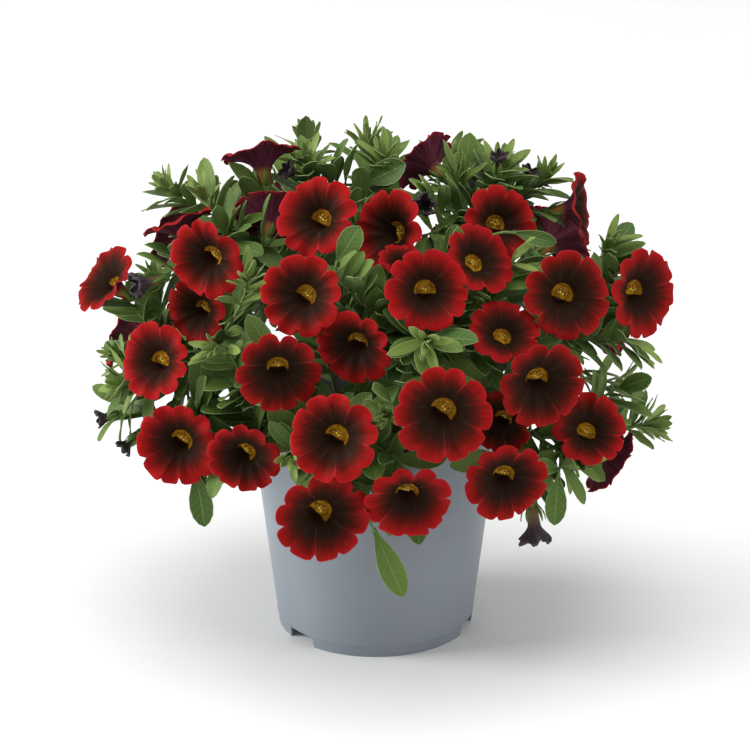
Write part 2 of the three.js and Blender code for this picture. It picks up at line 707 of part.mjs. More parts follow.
// A leaf that grows from a place on an axis, on the side that the turn gives.
function leafOn(axis, place, turn, length, width) {
  const { along, side, lift } = frameOn(axis.curve, place, axis.level);
  const root = axis.curve.getPoint(place);
  const outward = side.multiplyScalar(Math.cos(turn * DEGREE));
  outward.addScaledVector(lift, Math.sin(turn * DEGREE));
  const crown = offset(root, CROWN_CENTRE, -1).normalize();
  const reach = along.multiplyScalar(Math.cos(LEAF_SPREAD * DEGREE));
  reach.addScaledVector(outward, Math.sin(LEAF_SPREAD * DEGREE));
  reach.addScaledVector(UP, LEAF_LIFT).addScaledVector(crown, LEAF_LIFT).normalize();
  const normal = UP.clone().multiplyScalar(LEAF_FACE_UP).add(crown);
  normal.addScaledVector(reach, -normal.dot(reach)).normalize();
  return { root, along: reach, normal, length, width, droop: LEAF_DROOP };
}

// One leaf of a shoot: nearly along it in the middle, wider apart at the outside.
function shootLeaf(axis, number, length, turn) {
  const share = number / (SHOOT_LEAVES - 1);
  const spread = lerp(SHOOT_SPREAD, share);
  const { along, side, lift } = frameOn(axis.curve, 1, axis.level);
  const root = offset(axis.curve.getPoint(1), along, -SHOOT_STEP * number - SHOOT_INSET);
  const outward = side.multiplyScalar(Math.cos(turn * DEGREE));
  outward.addScaledVector(lift, Math.sin(turn * DEGREE));
  const reach = axis.tipAxis.clone().multiplyScalar(Math.cos(spread * DEGREE));
  reach.addScaledVector(outward, Math.sin(spread * DEGREE)).normalize();
  const normal = axis.tipAxis.clone().addScaledVector(reach, -axis.tipAxis.dot(reach)).normalize();
  const size = length * lerp(SHOOT_LEAF_SIZE, share);
  const width = size * SHOOT_LEAF_WIDTH;
  return { root, along: reach, normal, length: size, width, droop: SHOOT_LEAF_DROOP };
}

// A leaf from its root to its tip, its upper face turned to the front and up.
function leafBetween([x, y, z, tipX, tipY, tipZ, width]) {
  const root = new THREE.Vector3(x, y, z);
  const reach = new THREE.Vector3(tipX, tipY, tipZ).sub(root);
  const length = reach.length();
  const along = reach.normalize();
  const normal = facing(0, FRONT_PITCH);
  normal.addScaledVector(along, -normal.dot(along)).normalize();
  return { root, along, normal, length, width, droop: 0 };
}

// ---- The whole plant ----------------------------------------------------------------------------

// A cup round the base of the tube, drawn out into five narrow sepals that lean away from it.
function calyxSolid(flower) {
  const rings = [
    [0, -CLEARANCE - CALYX_LENGTH],
    [CALYX_BOTTOM_RADIUS, -CLEARANCE - CALYX_LENGTH],
    SEPAL_TIP,
    [CALYX_RADIUS, -CLEARANCE],
    [0, -CLEARANCE],
  ];
  const outline = rings.map(([radius, level]) => new THREE.Vector2(radius, level));
  const points = 2 * LOBES;
  const geometry = new THREE.LatheGeometry(outline, points);
  const places = geometry.attributes.position;
  for (let i = 0; i < places.count; i += 1) {
    const ring = i % rings.length;
    const step = Math.floor(i / rings.length) % points;
    const onTips = rings[ring] === SEPAL_TIP;
    const [radius, level] = onTips && step % 2 ? CALYX_CLEFT : rings[ring];
    const turn = onTips ? step / points : Math.floor((step + 1) / 2) / LOBES;
    const reach = radius * Math.max(flower.size, CALYX_LEAST);
    const angle = turn * FULL_TURN;
    places.setXYZ(i, reach * Math.sin(angle), level, reach * Math.cos(angle));
  }
  geometry.applyMatrix4(flower.turned);
  geometry.translate(flower.base.x, flower.base.y, flower.base.z);
  return solidOf(geometry);
}

// The flowers with the room over each face. Pressed blooms share their neighbour's mesh.
function addFlowers(group) {
  const blooms = BLOOMS.map((row) => flowerOf(row, RIM_LEVEL));
  const pressed = PRESSED_BLOOMS.map(([, ...row]) => flowerOf(row, RIM_LEVEL));
  const withered = WITHERED.map((row) => flowerOf(row, WITHERED_LEVEL));
  blooms.forEach((flower, i) => {
    const neighbours = pressed.filter((other, k) => PRESSED_BLOOMS[k][0] === i + 1);
    placeFlowers(group, [flower, ...neighbours], bloomGeometry, `bloom_${numberOf(i)}`, 'bloom');
  });
  withered.forEach((flower, i) => {
    placeFlowers(group, [flower], witheredGeometry, `withered_${numberOf(i)}`, 'withered');
  });
  const front = facing(0, FRONT_PITCH);
  for (const flower of [...blooms, ...pressed]) {
    take(roomOver(flower, flower.axis, VIEW_DEPTH), { room: true });
    if (flower.axis.dot(front) > FRONT_FACING) take(roomOver(flower, front, FRONT_DEPTH), { room: true });
  }
  return [...blooms, ...pressed, ...withered];
}

// What grows from the soil. A node is a main stem with its twigs, calyxes and leaves.
class Growth {
  constructor() {
    this.axes = STEMS.map(stemAxis);
    this.nodes = STEMS.map(() => []);
    this.twigs = [];
    this.shoots = this.axes.map((axis, stem) => ({ ...axis, stem, id: stem, length: STEMS[stem].at(-1) }));
    this.missed = [];
  }

  growStems() {
    const stations = Array.from({ length: STEM_STEPS + 1 }, (_, i) => {
      return [i / STEM_STEPS, lerp([STEM_RADIUS, STEM_TIP_RADIUS], i / STEM_STEPS)];
    });
    this.axes.forEach((axis, stem) => {
      const trunk = tube(axis.rooted, axis.level, stations, STEM_SIDES);
      if (!isClear(trunk, { node: stem })) this.missed.push(`stem ${stem}`);
      this.nodes[stem].push(trunk);
      take(trunk, { node: stem, axis: stem });
    });
  }

  // A twig with the parts at its end takes the first way that is clear.
  growTwig(end, endAxis, parts, label, through = false) {
    for (const choice of twigChoices(this.axes, end, endAxis)) {
      const axis = twigAxis(this.axes, choice, end, endAxis);
      const twig = tube(axis.curve, axis.level, TWIG_STATIONS, TWIG_SIDES);
      const all = [twig, ...parts];
      if (all.every((solid) => isClear(solid, { node: choice.stem, through }))) {
        const id = this.axes.length + this.twigs.length;
        all.forEach((solid) => this.nodes[choice.stem].push(solid));
        all.forEach((solid) => take(solid, { node: choice.stem, axis: id }));
        const grown = { ...axis, stem: choice.stem, id };
        this.twigs.push(grown);
        return grown;
      }
    }
    this.missed.push(label);
    return null;
  }

  growFlowerTwigs(flowers) {
    for (const flower of flowers) {
      const foot = offset(flower.base, flower.axis, -CLEARANCE - CALYX_LENGTH / 2);
      const label = `flower at ${flower.face.toArray().map(Math.round)}`;
      this.growTwig(foot, flower.axis, [calyxSolid(flower)], label, flower.size < HALF_OPEN);
    }
  }

  growShoots() {
    for (const [x, y, z, yaw, pitch, length] of SHOOTS) {
      const end = new THREE.Vector3(x, y, z);
      const shoot = this.growTwig(end, facing(yaw, pitch), [], `shoot at ${[x, y, z]}`);
      if (shoot) this.shoots.push({ ...shoot, length });
    }
  }

  tryLeaf(leaf, axis, blade, extra = {}) {
    const solid = leafSolid(leaf, blade);
    if (!isClear(solid, { node: axis.stem, leafOf: axis.id, ...extra })) return false;
    this.nodes[axis.stem].push(solid);
    take(solid, { node: axis.stem, cluster: extra.cluster });
    return true;
  }

  growLongLeaves() {
    for (const row of LONG_LEAVES) {
      const leaf = leafBetween(row);
      const end = offset(leaf.root, leaf.along, TWIG_OVERLAP);
      const label = `leaf at ${row}`;
      const twig = this.growTwig(end, leaf.along, [], label, true);
      if (twig && !this.tryLeaf(leaf, twig, SINGLE_BLADE, { through: true })) this.missed.push(label);
    }
  }

  growSpentBuds() {
    for (const row of SPENT_BUDS) {
      const bud = flowerOf(row, WITHERED_LEVEL);
      const foot = offset(bud.base, bud.axis, SPENT_OVERLAP);
      this.growTwig(foot, bud.axis, [flowerSolid(bud, witheredGeometry)], `spent bud at ${row}`);
    }
  }

  growShootLeaves() {
    this.shoots.forEach((shoot, i) => {
      const draw = seeded(SHOOT_SEED + i);
      const start = draw() * 360;
      for (let k = 0; k < SHOOT_LEAVES; k += 1) {
        const length = shoot.length * lerp(SHOOT_LEAF_VARIATION, draw());
        const leaf = shootLeaf(shoot, k, length, start + LEAF_TURN * k);
        this.tryLeaf(leaf, shoot, YOUNG_BLADE, { cluster: i });
      }
    });
  }

  // Leaves at even steps along an axis. Each takes the first turn and size that is clear.
  growLeavesAlong(axis, [first, last], spacing, seed) {
    const draw = seeded(seed);
    const count = Math.floor((axis.curve.getLength() * (last - first)) / spacing);
    const start = draw() * 360;
    for (let k = 0; k < count; k += 1) {
      const place = first + ((last - first) * (k + 0.5)) / count;
      const length = lerp(LEAF_LENGTH, draw());
      const width = length * lerp(LEAF_WIDTH, draw());
      LEAF_SIZE_CHOICES.some((size) => LEAF_TURN_CHOICES.some((turn) => {
        const angle = start + LEAF_TURN * k + turn;
        return this.tryLeaf(leafOn(axis, place, angle, length * size, width * size), axis, BLADE);
      }));
    }
  }

  growLeaves() {
    this.axes.forEach((axis, stem) => {
      const own = { ...axis, stem, id: stem };
      this.growLeavesAlong(own, LEAVES_ON_STEM, LEAF_SPACING_ON_STEM, STEM_LEAF_SEED + stem);
    });
    this.twigs.forEach((twig, i) => {
      this.growLeavesAlong(twig, LEAVES_ON_TWIG, LEAF_SPACING_ON_TWIG, TWIG_LEAF_SEED + i);
    });
  }

  addTo(group) {
    this.nodes.forEach((parts, stem) => {
      const joined = wasm.Manifold.union(parts).simplify(TIDY);
      group.add(named(geometryOf(joined), `leafy_stem_${numberOf(stem)}`, 'leafy_stem'));
    });
    if (this.missed.length > 0) throw new Error(`no clear way for: ${this.missed.join('; ')}`);
  }
}

function buildPlant(group) {
  const flowers = addFlowers(group);
  const growth = new Growth();
  growth.growStems();
  growth.growFlowerTwigs(flowers);
  growth.growShoots();
  growth.growLongLeaves();
  growth.growSpentBuds();
  growth.growShootLeaves();
  growth.growLeaves();
  growth.addTo(group);
}

const group = new THREE.Group();
const pot = buildPot();
const soil = buildSoil();
group.add(named(geometryOf(pot), 'pot', 'pot'));
group.add(named(geometryOf(soil), 'soil', 'soil'));
take(pot, { node: 'pot' });
take(soil, { node: 'soil' });
buildPlant(group);

export default group;
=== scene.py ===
# %% [markdown]
# # A calibrachoa in its nursery pot
#
# The plant is a mound of thin leafy stems that end in red trumpet flowers with nearly black centres
# and yellow throats, in a plain tapered pot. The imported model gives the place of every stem, leaf and
# flower as a coarse solid. Each is made again here in its real fineness on the same curves, because
# thin petals and leaves are what make a plant look alive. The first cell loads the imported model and
# keeps its box, which the finished plant has to stay in.

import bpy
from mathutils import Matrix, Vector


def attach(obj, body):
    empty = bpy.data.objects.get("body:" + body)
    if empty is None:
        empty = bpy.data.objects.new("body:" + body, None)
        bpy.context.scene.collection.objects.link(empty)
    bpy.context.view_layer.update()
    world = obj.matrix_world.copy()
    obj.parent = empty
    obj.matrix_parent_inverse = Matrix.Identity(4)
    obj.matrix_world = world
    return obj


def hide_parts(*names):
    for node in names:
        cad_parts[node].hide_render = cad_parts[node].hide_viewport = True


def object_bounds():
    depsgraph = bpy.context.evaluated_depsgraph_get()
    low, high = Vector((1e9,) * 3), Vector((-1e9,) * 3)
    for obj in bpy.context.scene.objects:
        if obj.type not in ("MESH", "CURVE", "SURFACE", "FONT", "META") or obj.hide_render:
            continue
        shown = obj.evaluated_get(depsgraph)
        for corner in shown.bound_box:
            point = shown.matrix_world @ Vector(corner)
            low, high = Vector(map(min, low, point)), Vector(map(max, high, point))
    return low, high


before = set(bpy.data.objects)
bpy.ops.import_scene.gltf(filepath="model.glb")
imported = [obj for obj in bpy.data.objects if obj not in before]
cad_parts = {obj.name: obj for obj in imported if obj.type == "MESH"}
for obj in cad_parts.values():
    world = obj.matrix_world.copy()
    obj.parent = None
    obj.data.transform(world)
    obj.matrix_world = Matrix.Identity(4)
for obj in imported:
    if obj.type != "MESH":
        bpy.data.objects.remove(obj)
cad_box = [list(corner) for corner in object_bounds()]

import random
from math import atan2, cos, exp, hypot, pi, radians, sin, sqrt, tau
from types import SimpleNamespace

import bmesh
import bpy
import numpy as np
from mathutils import Matrix, Vector, noise
from mathutils.kdtree import KDTree

print(len(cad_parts), "nodes, box", cad_box)

# %% [markdown]
# ## Camera
#
# The camera looks at the front of the plant from a little above, from far away through a long lens,
# so that the near flowers aren't much larger than the far ones. A wide lens close by would make the
# front flowers swell. Elevation and distance are the two numbers to play with.

# %% Place the camera
CAMERA_AIM = Vector((-0.0002, 0, 0.127))
CAMERA_DISTANCE, CAMERA_LENS, CAMERA_ELEVATION = 1.6, 160, radians(21.3)


def new_object(name, data, spot=(0, 0, 0), way=None):
    """A new object in the scene, at a spot, and looking a way if one is given."""
    made = bpy.data.objects.new(name, data)
    bpy.context.scene.collection.objects.link(made)
    made.location = spot
    if way:
        made.rotation_euler = way.to_track_quat("-Z", "Y").to_euler()
    return made


towards_camera = Vector((0, -cos(CAMERA_ELEVATION), sin(CAMERA_ELEVATION)))
camera_spot = CAMERA_AIM + towards_camera * CAMERA_DISTANCE
camera = new_object("camera", bpy.data.cameras.new("camera"), camera_spot, -towards_camera)
camera.data.lens = CAMERA_LENS
bpy.context.scene.camera = camera
print("camera at", tuple(round(x, 3) for x in camera.location))

# %% [markdown]
# ## Where the flowers are
#
# A flower is given by the middle of its face, the way it looks and its size. Yaw turns it from the
# front towards the right, pitch turns it up, and roll turns it about its own axis. The rows below are
# the plan of the plant in millimetres, and the same as in the solid model, so that each fine flower
# lies in its coarse one. At the back some flowers press into a neighbour and share its node.

# %% Plan of the flowers: x, y, z, yaw, pitch, size, roll
BLOOMS = [
    (-127, -25, 185, -65, 40, 0.92, 10), (-77, -64, 208, -27, 0, 0.94, 40),
    (-83, -50, 178, -37, 5, 0.84, 20), (-102, -66, 160, -33, 22, 0.95, 5),
    (-91, -78, 123, -15, 3, 1.02, 30), (-60, -92, 122, -8, -9, 0.90, 50),
    (-27, -62, 228, -25, 30, 0.97, 15), (5, -58, 220, -42, 22, 1.0, 60),
    (-33, -92, 201, -16, 20, 0.97, 33), (-10, -98, 178, -21, -10, 0.92, 12),
    (-43, -108, 170, 6, -5, 0.98, 0), (-19, -124, 145, -15, 12, 1.06, 25),
    (-24, -112, 101, 11, -3, 1.12, 48), (15, -110, 108, 6, -20, 1.04, 8),
    (30, -126, 157, 0, 4, 1.14, 36), (59, -108, 117, 9, -9, 1.0, 18),
    (23, -100, 206, 9, 18, 0.97, 3), (57, -50, 221, 24, 26, 0.9, 22),
    (47, -76, 213, 40, 40, 0.88, 55), (87, -78, 196, 22, 17, 1.06, 28),
    (125, -36, 182, 42, 10, 1.08, 14), (58, -92, 184, 18, 48, 0.84, 42),
    (75, -102, 162, 20, -4, 1.06, 9), (98, -80, 132, 16, 38, 0.9, 31),
    (56, -91, 139, -24, -5, 0.8, 19), (-54, 6, 237, -160, 62, 0.95, 11),
    (-49, -26, 216, 175, 25, 0.9, 37), (-92, -26, 214, -130, 62, 0.86, 26),
    (23, 10, 232, -134, 25, 0.86, 7), (12, -81, 214, 30, 65, 0.56, 44),
    (97, -8, 214, 80, 10, 0.92, 52), (112, -6, 157, 75, 15, 0.86, 17),
    (110, -48, 101, 95, -40, 0.9, 34), (-100, 66, 176, -125, 20, 1.0, 21),
    (-48, 104, 176, -158, 22, 1.02, 6), (46, 112, 152, 160, 12, 1.04, 47),
    (92, 76, 172, 130, 22, 0.98, 29), (114, 60, 134, 118, 4, 1.0, 13),
    (-76, 98, 124, -143, 2, 0.96, 39), (0, 108, 178, 178, 26, 0.94, 51),
    (-124, 22, 142, -100, 12, 0.98, 2),
]
# The first number is the neighbour's, counted from 1.
PRESSED_BLOOMS = [
    (34, -87, 81, 163, -134, 14, 0.94, 15), (35, -38, 116, 148, -164, 8, 0.96, 30),
    (36, 58, 106, 126, 152, -4, 0.98, 10), (37, 69, 90, 177, 146, 28, 0.92, 35),
    (38, 120, 36, 151, 106, 10, 0.9, 20), (39, -98, 81, 122, -130, 4, 0.95, 5),
    (40, 3, 119, 157, 176, 8, 0.9, 25), (41, -119, 45, 121, -112, -6, 0.92, 40),
]
WITHERED = [
    (-110, -52, 191, -60, -5, 0.9, 0), (74, -85, 78, 20, -72, 1.1, 20),
    (22, -48, 229, -10, 30, 0.85, 40),
]
SPENT_BUDS = [
    (-130, -40, 120, -75, -10, 0.64, 0), (-119, -42, 106, -60, -35, 0.64, 30),
    (57, -14, 242, 0, 75, 0.64, 10), (73, 0, 230, 70, 55, 0.64, 20),
    (-42, -2, 231, -60, 30, 0.7, 40),
]
print(len(BLOOMS) + len(PRESSED_BLOOMS), "blooms and", len(WITHERED + SPENT_BUDS), "withered flowers")

# %% [markdown]
# ## Where the stems, shoots and single leaves are
#
# A main stem is a smooth curve from its foot in the soil to its tip, with the way that the tip points.
# A shoot is a tuft of young leaves at the end of a side twig. A few single leaves that hang over the
# pot or cross in front of a flower are placed by their root and tip, because they are seen clearly.

# %% Plan of the greenery
# Foot x, y, tip x, y, z, the tip's yaw and pitch, and its leaves' length.
STEMS = [
    (-9, 7, -32, 8, 232, -30, 70, 19), (3, 10, 5, 3, 236, 10, 75, 19),
    (14, 6, 58, -4, 232, 40, 68, 20), (-17, -1, -79, -18, 222, -70, 60, 19),
    (-22, -9, -116, -42, 140, -70, 5, 21), (-14, -18, -68, -72, 116, -60, -20, 19),
    (-3, -24, -38, -96, 126, -20, 5, 18), (9, -21, 23, -110, 186, 10, 15, 20),
    (20, -14, 92, -70, 112, 45, -8, 21), (24, -2, 120, -40, 160, 65, 10, 22),
    (18, 12, 84, 85, 165, 135, 30, 20), (1, 24, -2, 112, 150, 180, 20, 20),
    (-18, 15, -70, 66, 190, -135, 40, 20),
]
# Tip x, y, z, yaw, pitch and its leaves' length.
SHOOTS = [
    (80, 4, 224, 60, 50, 17), (38, -4, 228, -30, 70, 17), (-58, -72, 200, 20, 75, 21),
    (-72, -74, 170, -60, 20, 17), (63, -66, 212, 30, 75, 20), (108, -22, 202, 40, 65, 19),
    (127, -36, 116, 75, 15, 22), (-120, -28, 148, -80, 35, 15), (5, -114, 152, -10, 10, 12),
    (-104, -24, 186, -60, 60, 15), (-100, 45, 206, -115, 40, 19), (36, 96, 206, 160, 40, 20),
    (-32, 82, 216, -160, 55, 19), (120, 28, 172, 100, 20, 20), (24, 112, 118, 172, -5, 19),
    (-30, 111, 122, -170, 5, 19), (82, 96, 132, 140, 5, 19), (-96, 70, 106, -130, -10, 19),
    (118, 22, 112, 100, 0, 20), (-4, 44, 229, 180, 75, 18),
    (-36, 46, 210, -150, 70, 19), (38, 46, 208, 150, 70, 19),
]
# Root x, y, z, tip x, y, z and the width.
LONG_LEAVES = [
    (-83, -75, 110, -79, -78, 82, 11), (-1, -84, 84, 13, -90, 52, 12),
    (-18, -78, 211, -7, -82, 230, 11), (-84, -62, 137, -78, -66, 165, 11),
    (84, -85, 112, 82, -90, 88, 10), (17, -82, 100, 20, -94, 80, 10),
    (62, -60, 220, 82, -64, 216, 7), (-6, -2, 224, 14, -12, 237, 12),
    (112, -44, 137, 128, -52, 146, 9),
]
print(len(STEMS), "stems,", len(SHOOTS), "side shoots,", len(LONG_LEAVES), "single leaves")

# %% [markdown]
# ## Directions and curves
#
# Stems and twigs are cubic Bezier curves: two ends and two handles give a natural sweep with few
# numbers. The solid model draws each one as a few straight runs, and its leaves grow from those. So
# both are kept here: the runs to find what the solid model has, and the sweep to draw it. Leaves and
# rings are laid out at a place on a curve, in one direction along it and two that are square to it.

# %% Directions
UP = Vector((0, 0, 1))


def facing(yaw, pitch):
    """The way that something looks, from its turn in degrees from the front and its tilt up."""
    yaw, pitch = radians(yaw), radians(pitch)
    return Vector((sin(yaw) * cos(pitch), -cos(yaw) * cos(pitch), sin(pitch)))


def turned(first, second, angle):
    """A first direction turned by degrees towards a second one square to it."""
    return first * cos(radians(angle)) + second * sin(radians(angle))


def between(low_high, share):
    low, high = low_high
    return low + (high - low) * share


print("the front is", tuple(facing(0, 0)))

# %% Curves of stems and twigs
LENGTH_STEPS = 200
NEAR = 1e-4  # a step this short finds the runs on both sides of a corner


class Curve:
    """What a sweep and its straight runs have in common."""

    def length(self):
        marks = [self.point(i / LENGTH_STEPS) for i in range(LENGTH_STEPS + 1)]
        return sum((b - a).length for a, b in zip(marks, marks[1:]))

    def frame(self, t, level):
        """Along the curve, and two directions square to it, the first near a fixed one."""
        along = self.tangent(t)
        side = (level - along * along.dot(level)).normalized()
        return along, side, along.cross(side)


class Sweep(Curve):
    """A cubic Bezier curve from a start to an end, drawn towards two handles."""

    def __init__(self, start, leave, arrive, end):
        self.start, self.leave, self.arrive, self.end = start, leave, arrive, end

    def point(self, t):
        s = 1 - t
        middle = self.leave * (3 * s * s * t) + self.arrive * (3 * s * t * t)
        return self.start * s**3 + middle + self.end * t**3

    def tangent(self, t):
        s = 1 - t
        slope = (self.leave - self.start) * s * s + (self.arrive - self.leave) * 2 * s * t
        return (slope + (self.end - self.arrive) * t * t).normalized()


class Runs(Curve):
    """A sweep as straight runs between some places on it."""

    def __init__(self, sweep, places):
        self.sweep, self.places = sweep, places
        self.marks = [sweep.point(place) for place in places]

    def run(self, t):
        ends = (i for i, place in enumerate(self.places) if i > 0 and place >= t)
        return next(ends, len(self.places) - 1)

    def point(self, t):
        i = self.run(t)
        first, last = self.places[i - 1], self.places[i]
        return self.marks[i - 1].lerp(self.marks[i], (t - first) / (last - first))

    def tangent(self, t):
        slope = Vector()
        for i in {self.run(t - NEAR), self.run(t + NEAR)}:
            slope += (self.marks[i] - self.marks[i - 1]) / (self.places[i] - self.places[i - 1])
        return slope.normalized()


def axis_of(sweep, places, level, tip_axis, stem):
    """A stem or twig: its curve, a fixed direction, the way its end points and its main stem."""
    return SimpleNamespace(curve=Runs(sweep, places), level=level, tip_axis=tip_axis, stem=stem)


middle = Sweep(UP * 0, UP, UP * 2, UP * 3).point(0.5)
print("an even sweep is half way up at", middle.z, "of 3")

# %% [markdown]
# ## Flowers and main stems as plans
#
# Each row becomes a place with directions. A flower's tube starts at its base, behind the face. A stem
# first rises straight from the soil and then bends outwards to its tip, as stems do that grow from
# the middle of a pot and lean over its rim.

# %% Plans of flowers and stems
RIM_LEVEL, WITHERED_LEVEL = 17, 15  # height of an open and a withered face over the base of its tube
STEM_START = 97  # a stem's curve starts just over the soil
STEM_RISE, STEM_REACH, STEM_FULL_SPAN = 62, 0.34, 110  # its two handles, and the span of a full rise
STEM_MARKS = [i / 7 for i in range(8)]


def flower_of(row, level):
    """A flower: its axis, the two directions across it, its face, the base of its tube and its size."""
    x, y, z, yaw, pitch, size, roll = row
    axis, face = facing(yaw, pitch), Vector((x, y, z))
    across = axis.cross(UP).normalized()
    side = turned(across, across.cross(axis).normalized(), roll)
    base = face - axis * level * size
    return SimpleNamespace(axis=axis, side=side, lift=axis.cross(side), face=face, base=base, size=size)


def stem_of(number, row):
    foot_x, foot_y, x, y, z, yaw, pitch, _ = row
    foot, tip, outward = Vector((foot_x, foot_y, STEM_START)), Vector((x, y, z)), facing(yaw, pitch)
    span = (tip - foot).length
    rise = UP * STEM_RISE * min(1, span / STEM_FULL_SPAN)
    sweep = Sweep(foot, foot + rise, tip - outward * span * STEM_REACH, tip)
    level = Vector((foot_y - y, x - foot_x, 0)).normalized()
    return axis_of(sweep, STEM_MARKS, level, outward, number)


blooms = [flower_of(row, RIM_LEVEL) for row in BLOOMS]
pressed = [flower_of(row[1:], RIM_LEVEL) for row in PRESSED_BLOOMS]
withered = [flower_of(row, WITHERED_LEVEL) for row in WITHERED]
buds = [flower_of(row, WITHERED_LEVEL) for row in SPENT_BUDS]
stems = [stem_of(i, row) for i, row in enumerate(STEMS)]
print("stem lengths", [round(stem.curve.length()) for stem in stems])

# %% [markdown]
# ## Which way each twig runs
#
# The solid model tries several ways for a twig, and keeps the first that is clear of all the rest.
# The ways are listed here by the same rule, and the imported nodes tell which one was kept: its corners
# are there. Asking the nearest corner with a tree of points is quick, and needs no collision test.

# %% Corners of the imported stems
MM = 0.001
HELD = 0.08  # a corner is there when one lies this near
NODE_OF_STEM = [f"leafy_stem_{i + 1:02d}" for i in range(len(STEMS))]


def corners_of(node):
    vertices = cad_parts[node].data.vertices
    tree = KDTree(len(vertices))
    for vertex in vertices:
        tree.insert(vertex.co / MM, vertex.index)
    tree.balance()
    return tree


corner_trees = [corners_of(node) for node in NODE_OF_STEM]


def is_held(stem, point):
    return corner_trees[stem].find(point)[2] < HELD


print(len(corner_trees), "trees of corners")

# %% Ways of a twig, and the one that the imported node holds
TWIG_RUN = 26  # a twig would like to leave its stem this far behind its end
TWIG_PLACES, TWIG_CHOICES, TWIG_REACH = 12, 32, (0.3, 0.86)
TWIG_BOWS = [(0, 0), (8, 0), (-8, 0), (0, 8), (0, -8), (16, 0), (-16, 0)]
TWIG_RADIUS, TWIG_SIDES, TWIG_MARKS = 0.85, 3, [0, 0.07, 0.5, 1]


def twig_of(stem, place, bow, end, end_axis):
    start = stem.curve.point(place)
    along, side, lift = stem.curve.frame(place, stem.level)
    span = (end - start).length
    push = side * bow[0] + lift * bow[1]
    sweep = Sweep(start, start + along * (span / 3) + push, end - end_axis * (span / 3), end)
    return axis_of(sweep, TWIG_MARKS, UP.cross(end - start).normalized(), end_axis, stem.stem)


def ring_corners(twig, place):
    _, side, lift = twig.curve.frame(place, twig.level)
    for i in range(TWIG_SIDES):
        yield twig.curve.point(place) + turned(side, lift, 360 * i / TWIG_SIDES) * TWIG_RADIUS


def corners_held(twig):
    """How many corners of a twig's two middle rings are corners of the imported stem."""
    return sum(is_held(twig.stem, corner) for mark in TWIG_MARKS[1:3] for corner in ring_corners(twig, mark))


def twig_to(end, end_axis):
    """The kept twig to an end: of the ways that the rule lists, the one with most corners held."""
    wish = end - end_axis * TWIG_RUN
    starts = [(stem, between(TWIG_REACH, i / TWIG_PLACES)) for stem in stems for i in range(TWIG_PLACES + 1)]
    starts.sort(key=lambda start: (start[0].curve.point(start[1]) - wish).length)
    ways = (twig_of(*start, bow, end, end_axis) for start in starts[:TWIG_CHOICES] for bow in TWIG_BOWS)
    return max(ways, key=corners_held)


print(TWIG_CHOICES * len(TWIG_BOWS), "ways to choose from for each twig")

# %% Find every twig
CALYX_FOOT = 2.1  # from the base of a tube down into its calyx
OVERLAP = 2  # how far a twig runs into a leaf or bud

flowers = blooms + pressed + withered
ends = [(flower.base - flower.axis * CALYX_FOOT, flower.axis) for flower in flowers]
ends += [(Vector(row[:3]), facing(row[3], row[4])) for row in SHOOTS]
for row in LONG_LEAVES:
    reach = (Vector(row[3:6]) - Vector(row[:3])).normalized()
    ends.append((Vector(row[:3]) + reach * OVERLAP, reach))
ends += [(bud.base + bud.axis * OVERLAP, bud.axis) for bud in buds]
twigs = [twig_to(*end) for end in ends]
first_shoot, first_leaf, first_bud = len(flowers), len(flowers) + len(SHOOTS), len(twigs) - len(buds)
print(len(twigs), "twigs, fewest corners held", min(corners_held(twig) for twig in twigs))

# %% [markdown]
# ## Leaves that the solid model has
#
# The solid model tries a leaf at several turns and two sizes, and keeps the first that is clear. The
# same draws are repeated here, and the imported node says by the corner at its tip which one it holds.
# That keeps every fine leaf in its coarse one.

# %% The same run of draws
WORD = 0xFFFFFFFF


def seeded(seed):
    """The mulberry32 generator: the same draws from 0 to 1 for the same seed."""
    state = seed

    def draw():
        nonlocal state
        state = (state + 0x6D2B79F5) & WORD
        mixed = (state ^ (state >> 15)) * (state | 1) & WORD
        mixed ^= (mixed + ((mixed ^ (mixed >> 7)) * (mixed | 61) & WORD)) & WORD
        return (mixed ^ (mixed >> 14)) / (WORD + 1)

    return draw


print("the first draw of seed 1 is", round(seeded(1)(), 4))

# %% A leaf on a stem, and one of a shoot
LEAF_SPREAD, LEAF_LIFT, LEAF_FACE_UP, LEAF_DROOP = 58, 0.3, 0.8, 0.16
YOUNG_WIDTH = 0.24  # a share of a young leaf's length
CROWN_CENTRE = Vector((0, 0, 140))


def leaf_of(root, along, normal, length, width, droop, stem, young=0.0, joint=None):
    """A leaf. Its joint is the point on the sweep where the drawn leaf starts."""
    return SimpleNamespace(
        root=root, along=along, normal=(normal - along * normal.dot(along)).normalized(), length=length,
        width=width, droop=droop, stem=stem, young=young, joint=joint or root,
    )


def tip_of(leaf):
    return leaf.root + leaf.along * leaf.length - leaf.normal * (leaf.droop * leaf.length)


def rooted(leaf):
    """The leaf with its root moved to its joint, and its tip where it was."""
    reach = leaf.root + leaf.along * leaf.length - leaf.joint
    return leaf_of(
        leaf.joint, reach.normalized(), leaf.normal, reach.length, leaf.width, leaf.droop,
        leaf.stem, leaf.young,
    )


def leaf_on(axis, place, turn, length, width):
    """A leaf of a stem or twig. It spreads from it at an angle, and leans up and outwards."""
    along, side, lift = axis.curve.frame(place, axis.level)
    root = axis.curve.point(place)
    crown = (root - CROWN_CENTRE).normalized()
    reach = turned(along, turned(side, lift, turn), LEAF_SPREAD) + (UP + crown) * LEAF_LIFT
    return leaf_of(
        root, reach.normalized(), UP * LEAF_FACE_UP + crown, length, width, LEAF_DROOP,
        axis.stem, joint=axis.curve.sweep.point(place),
    )


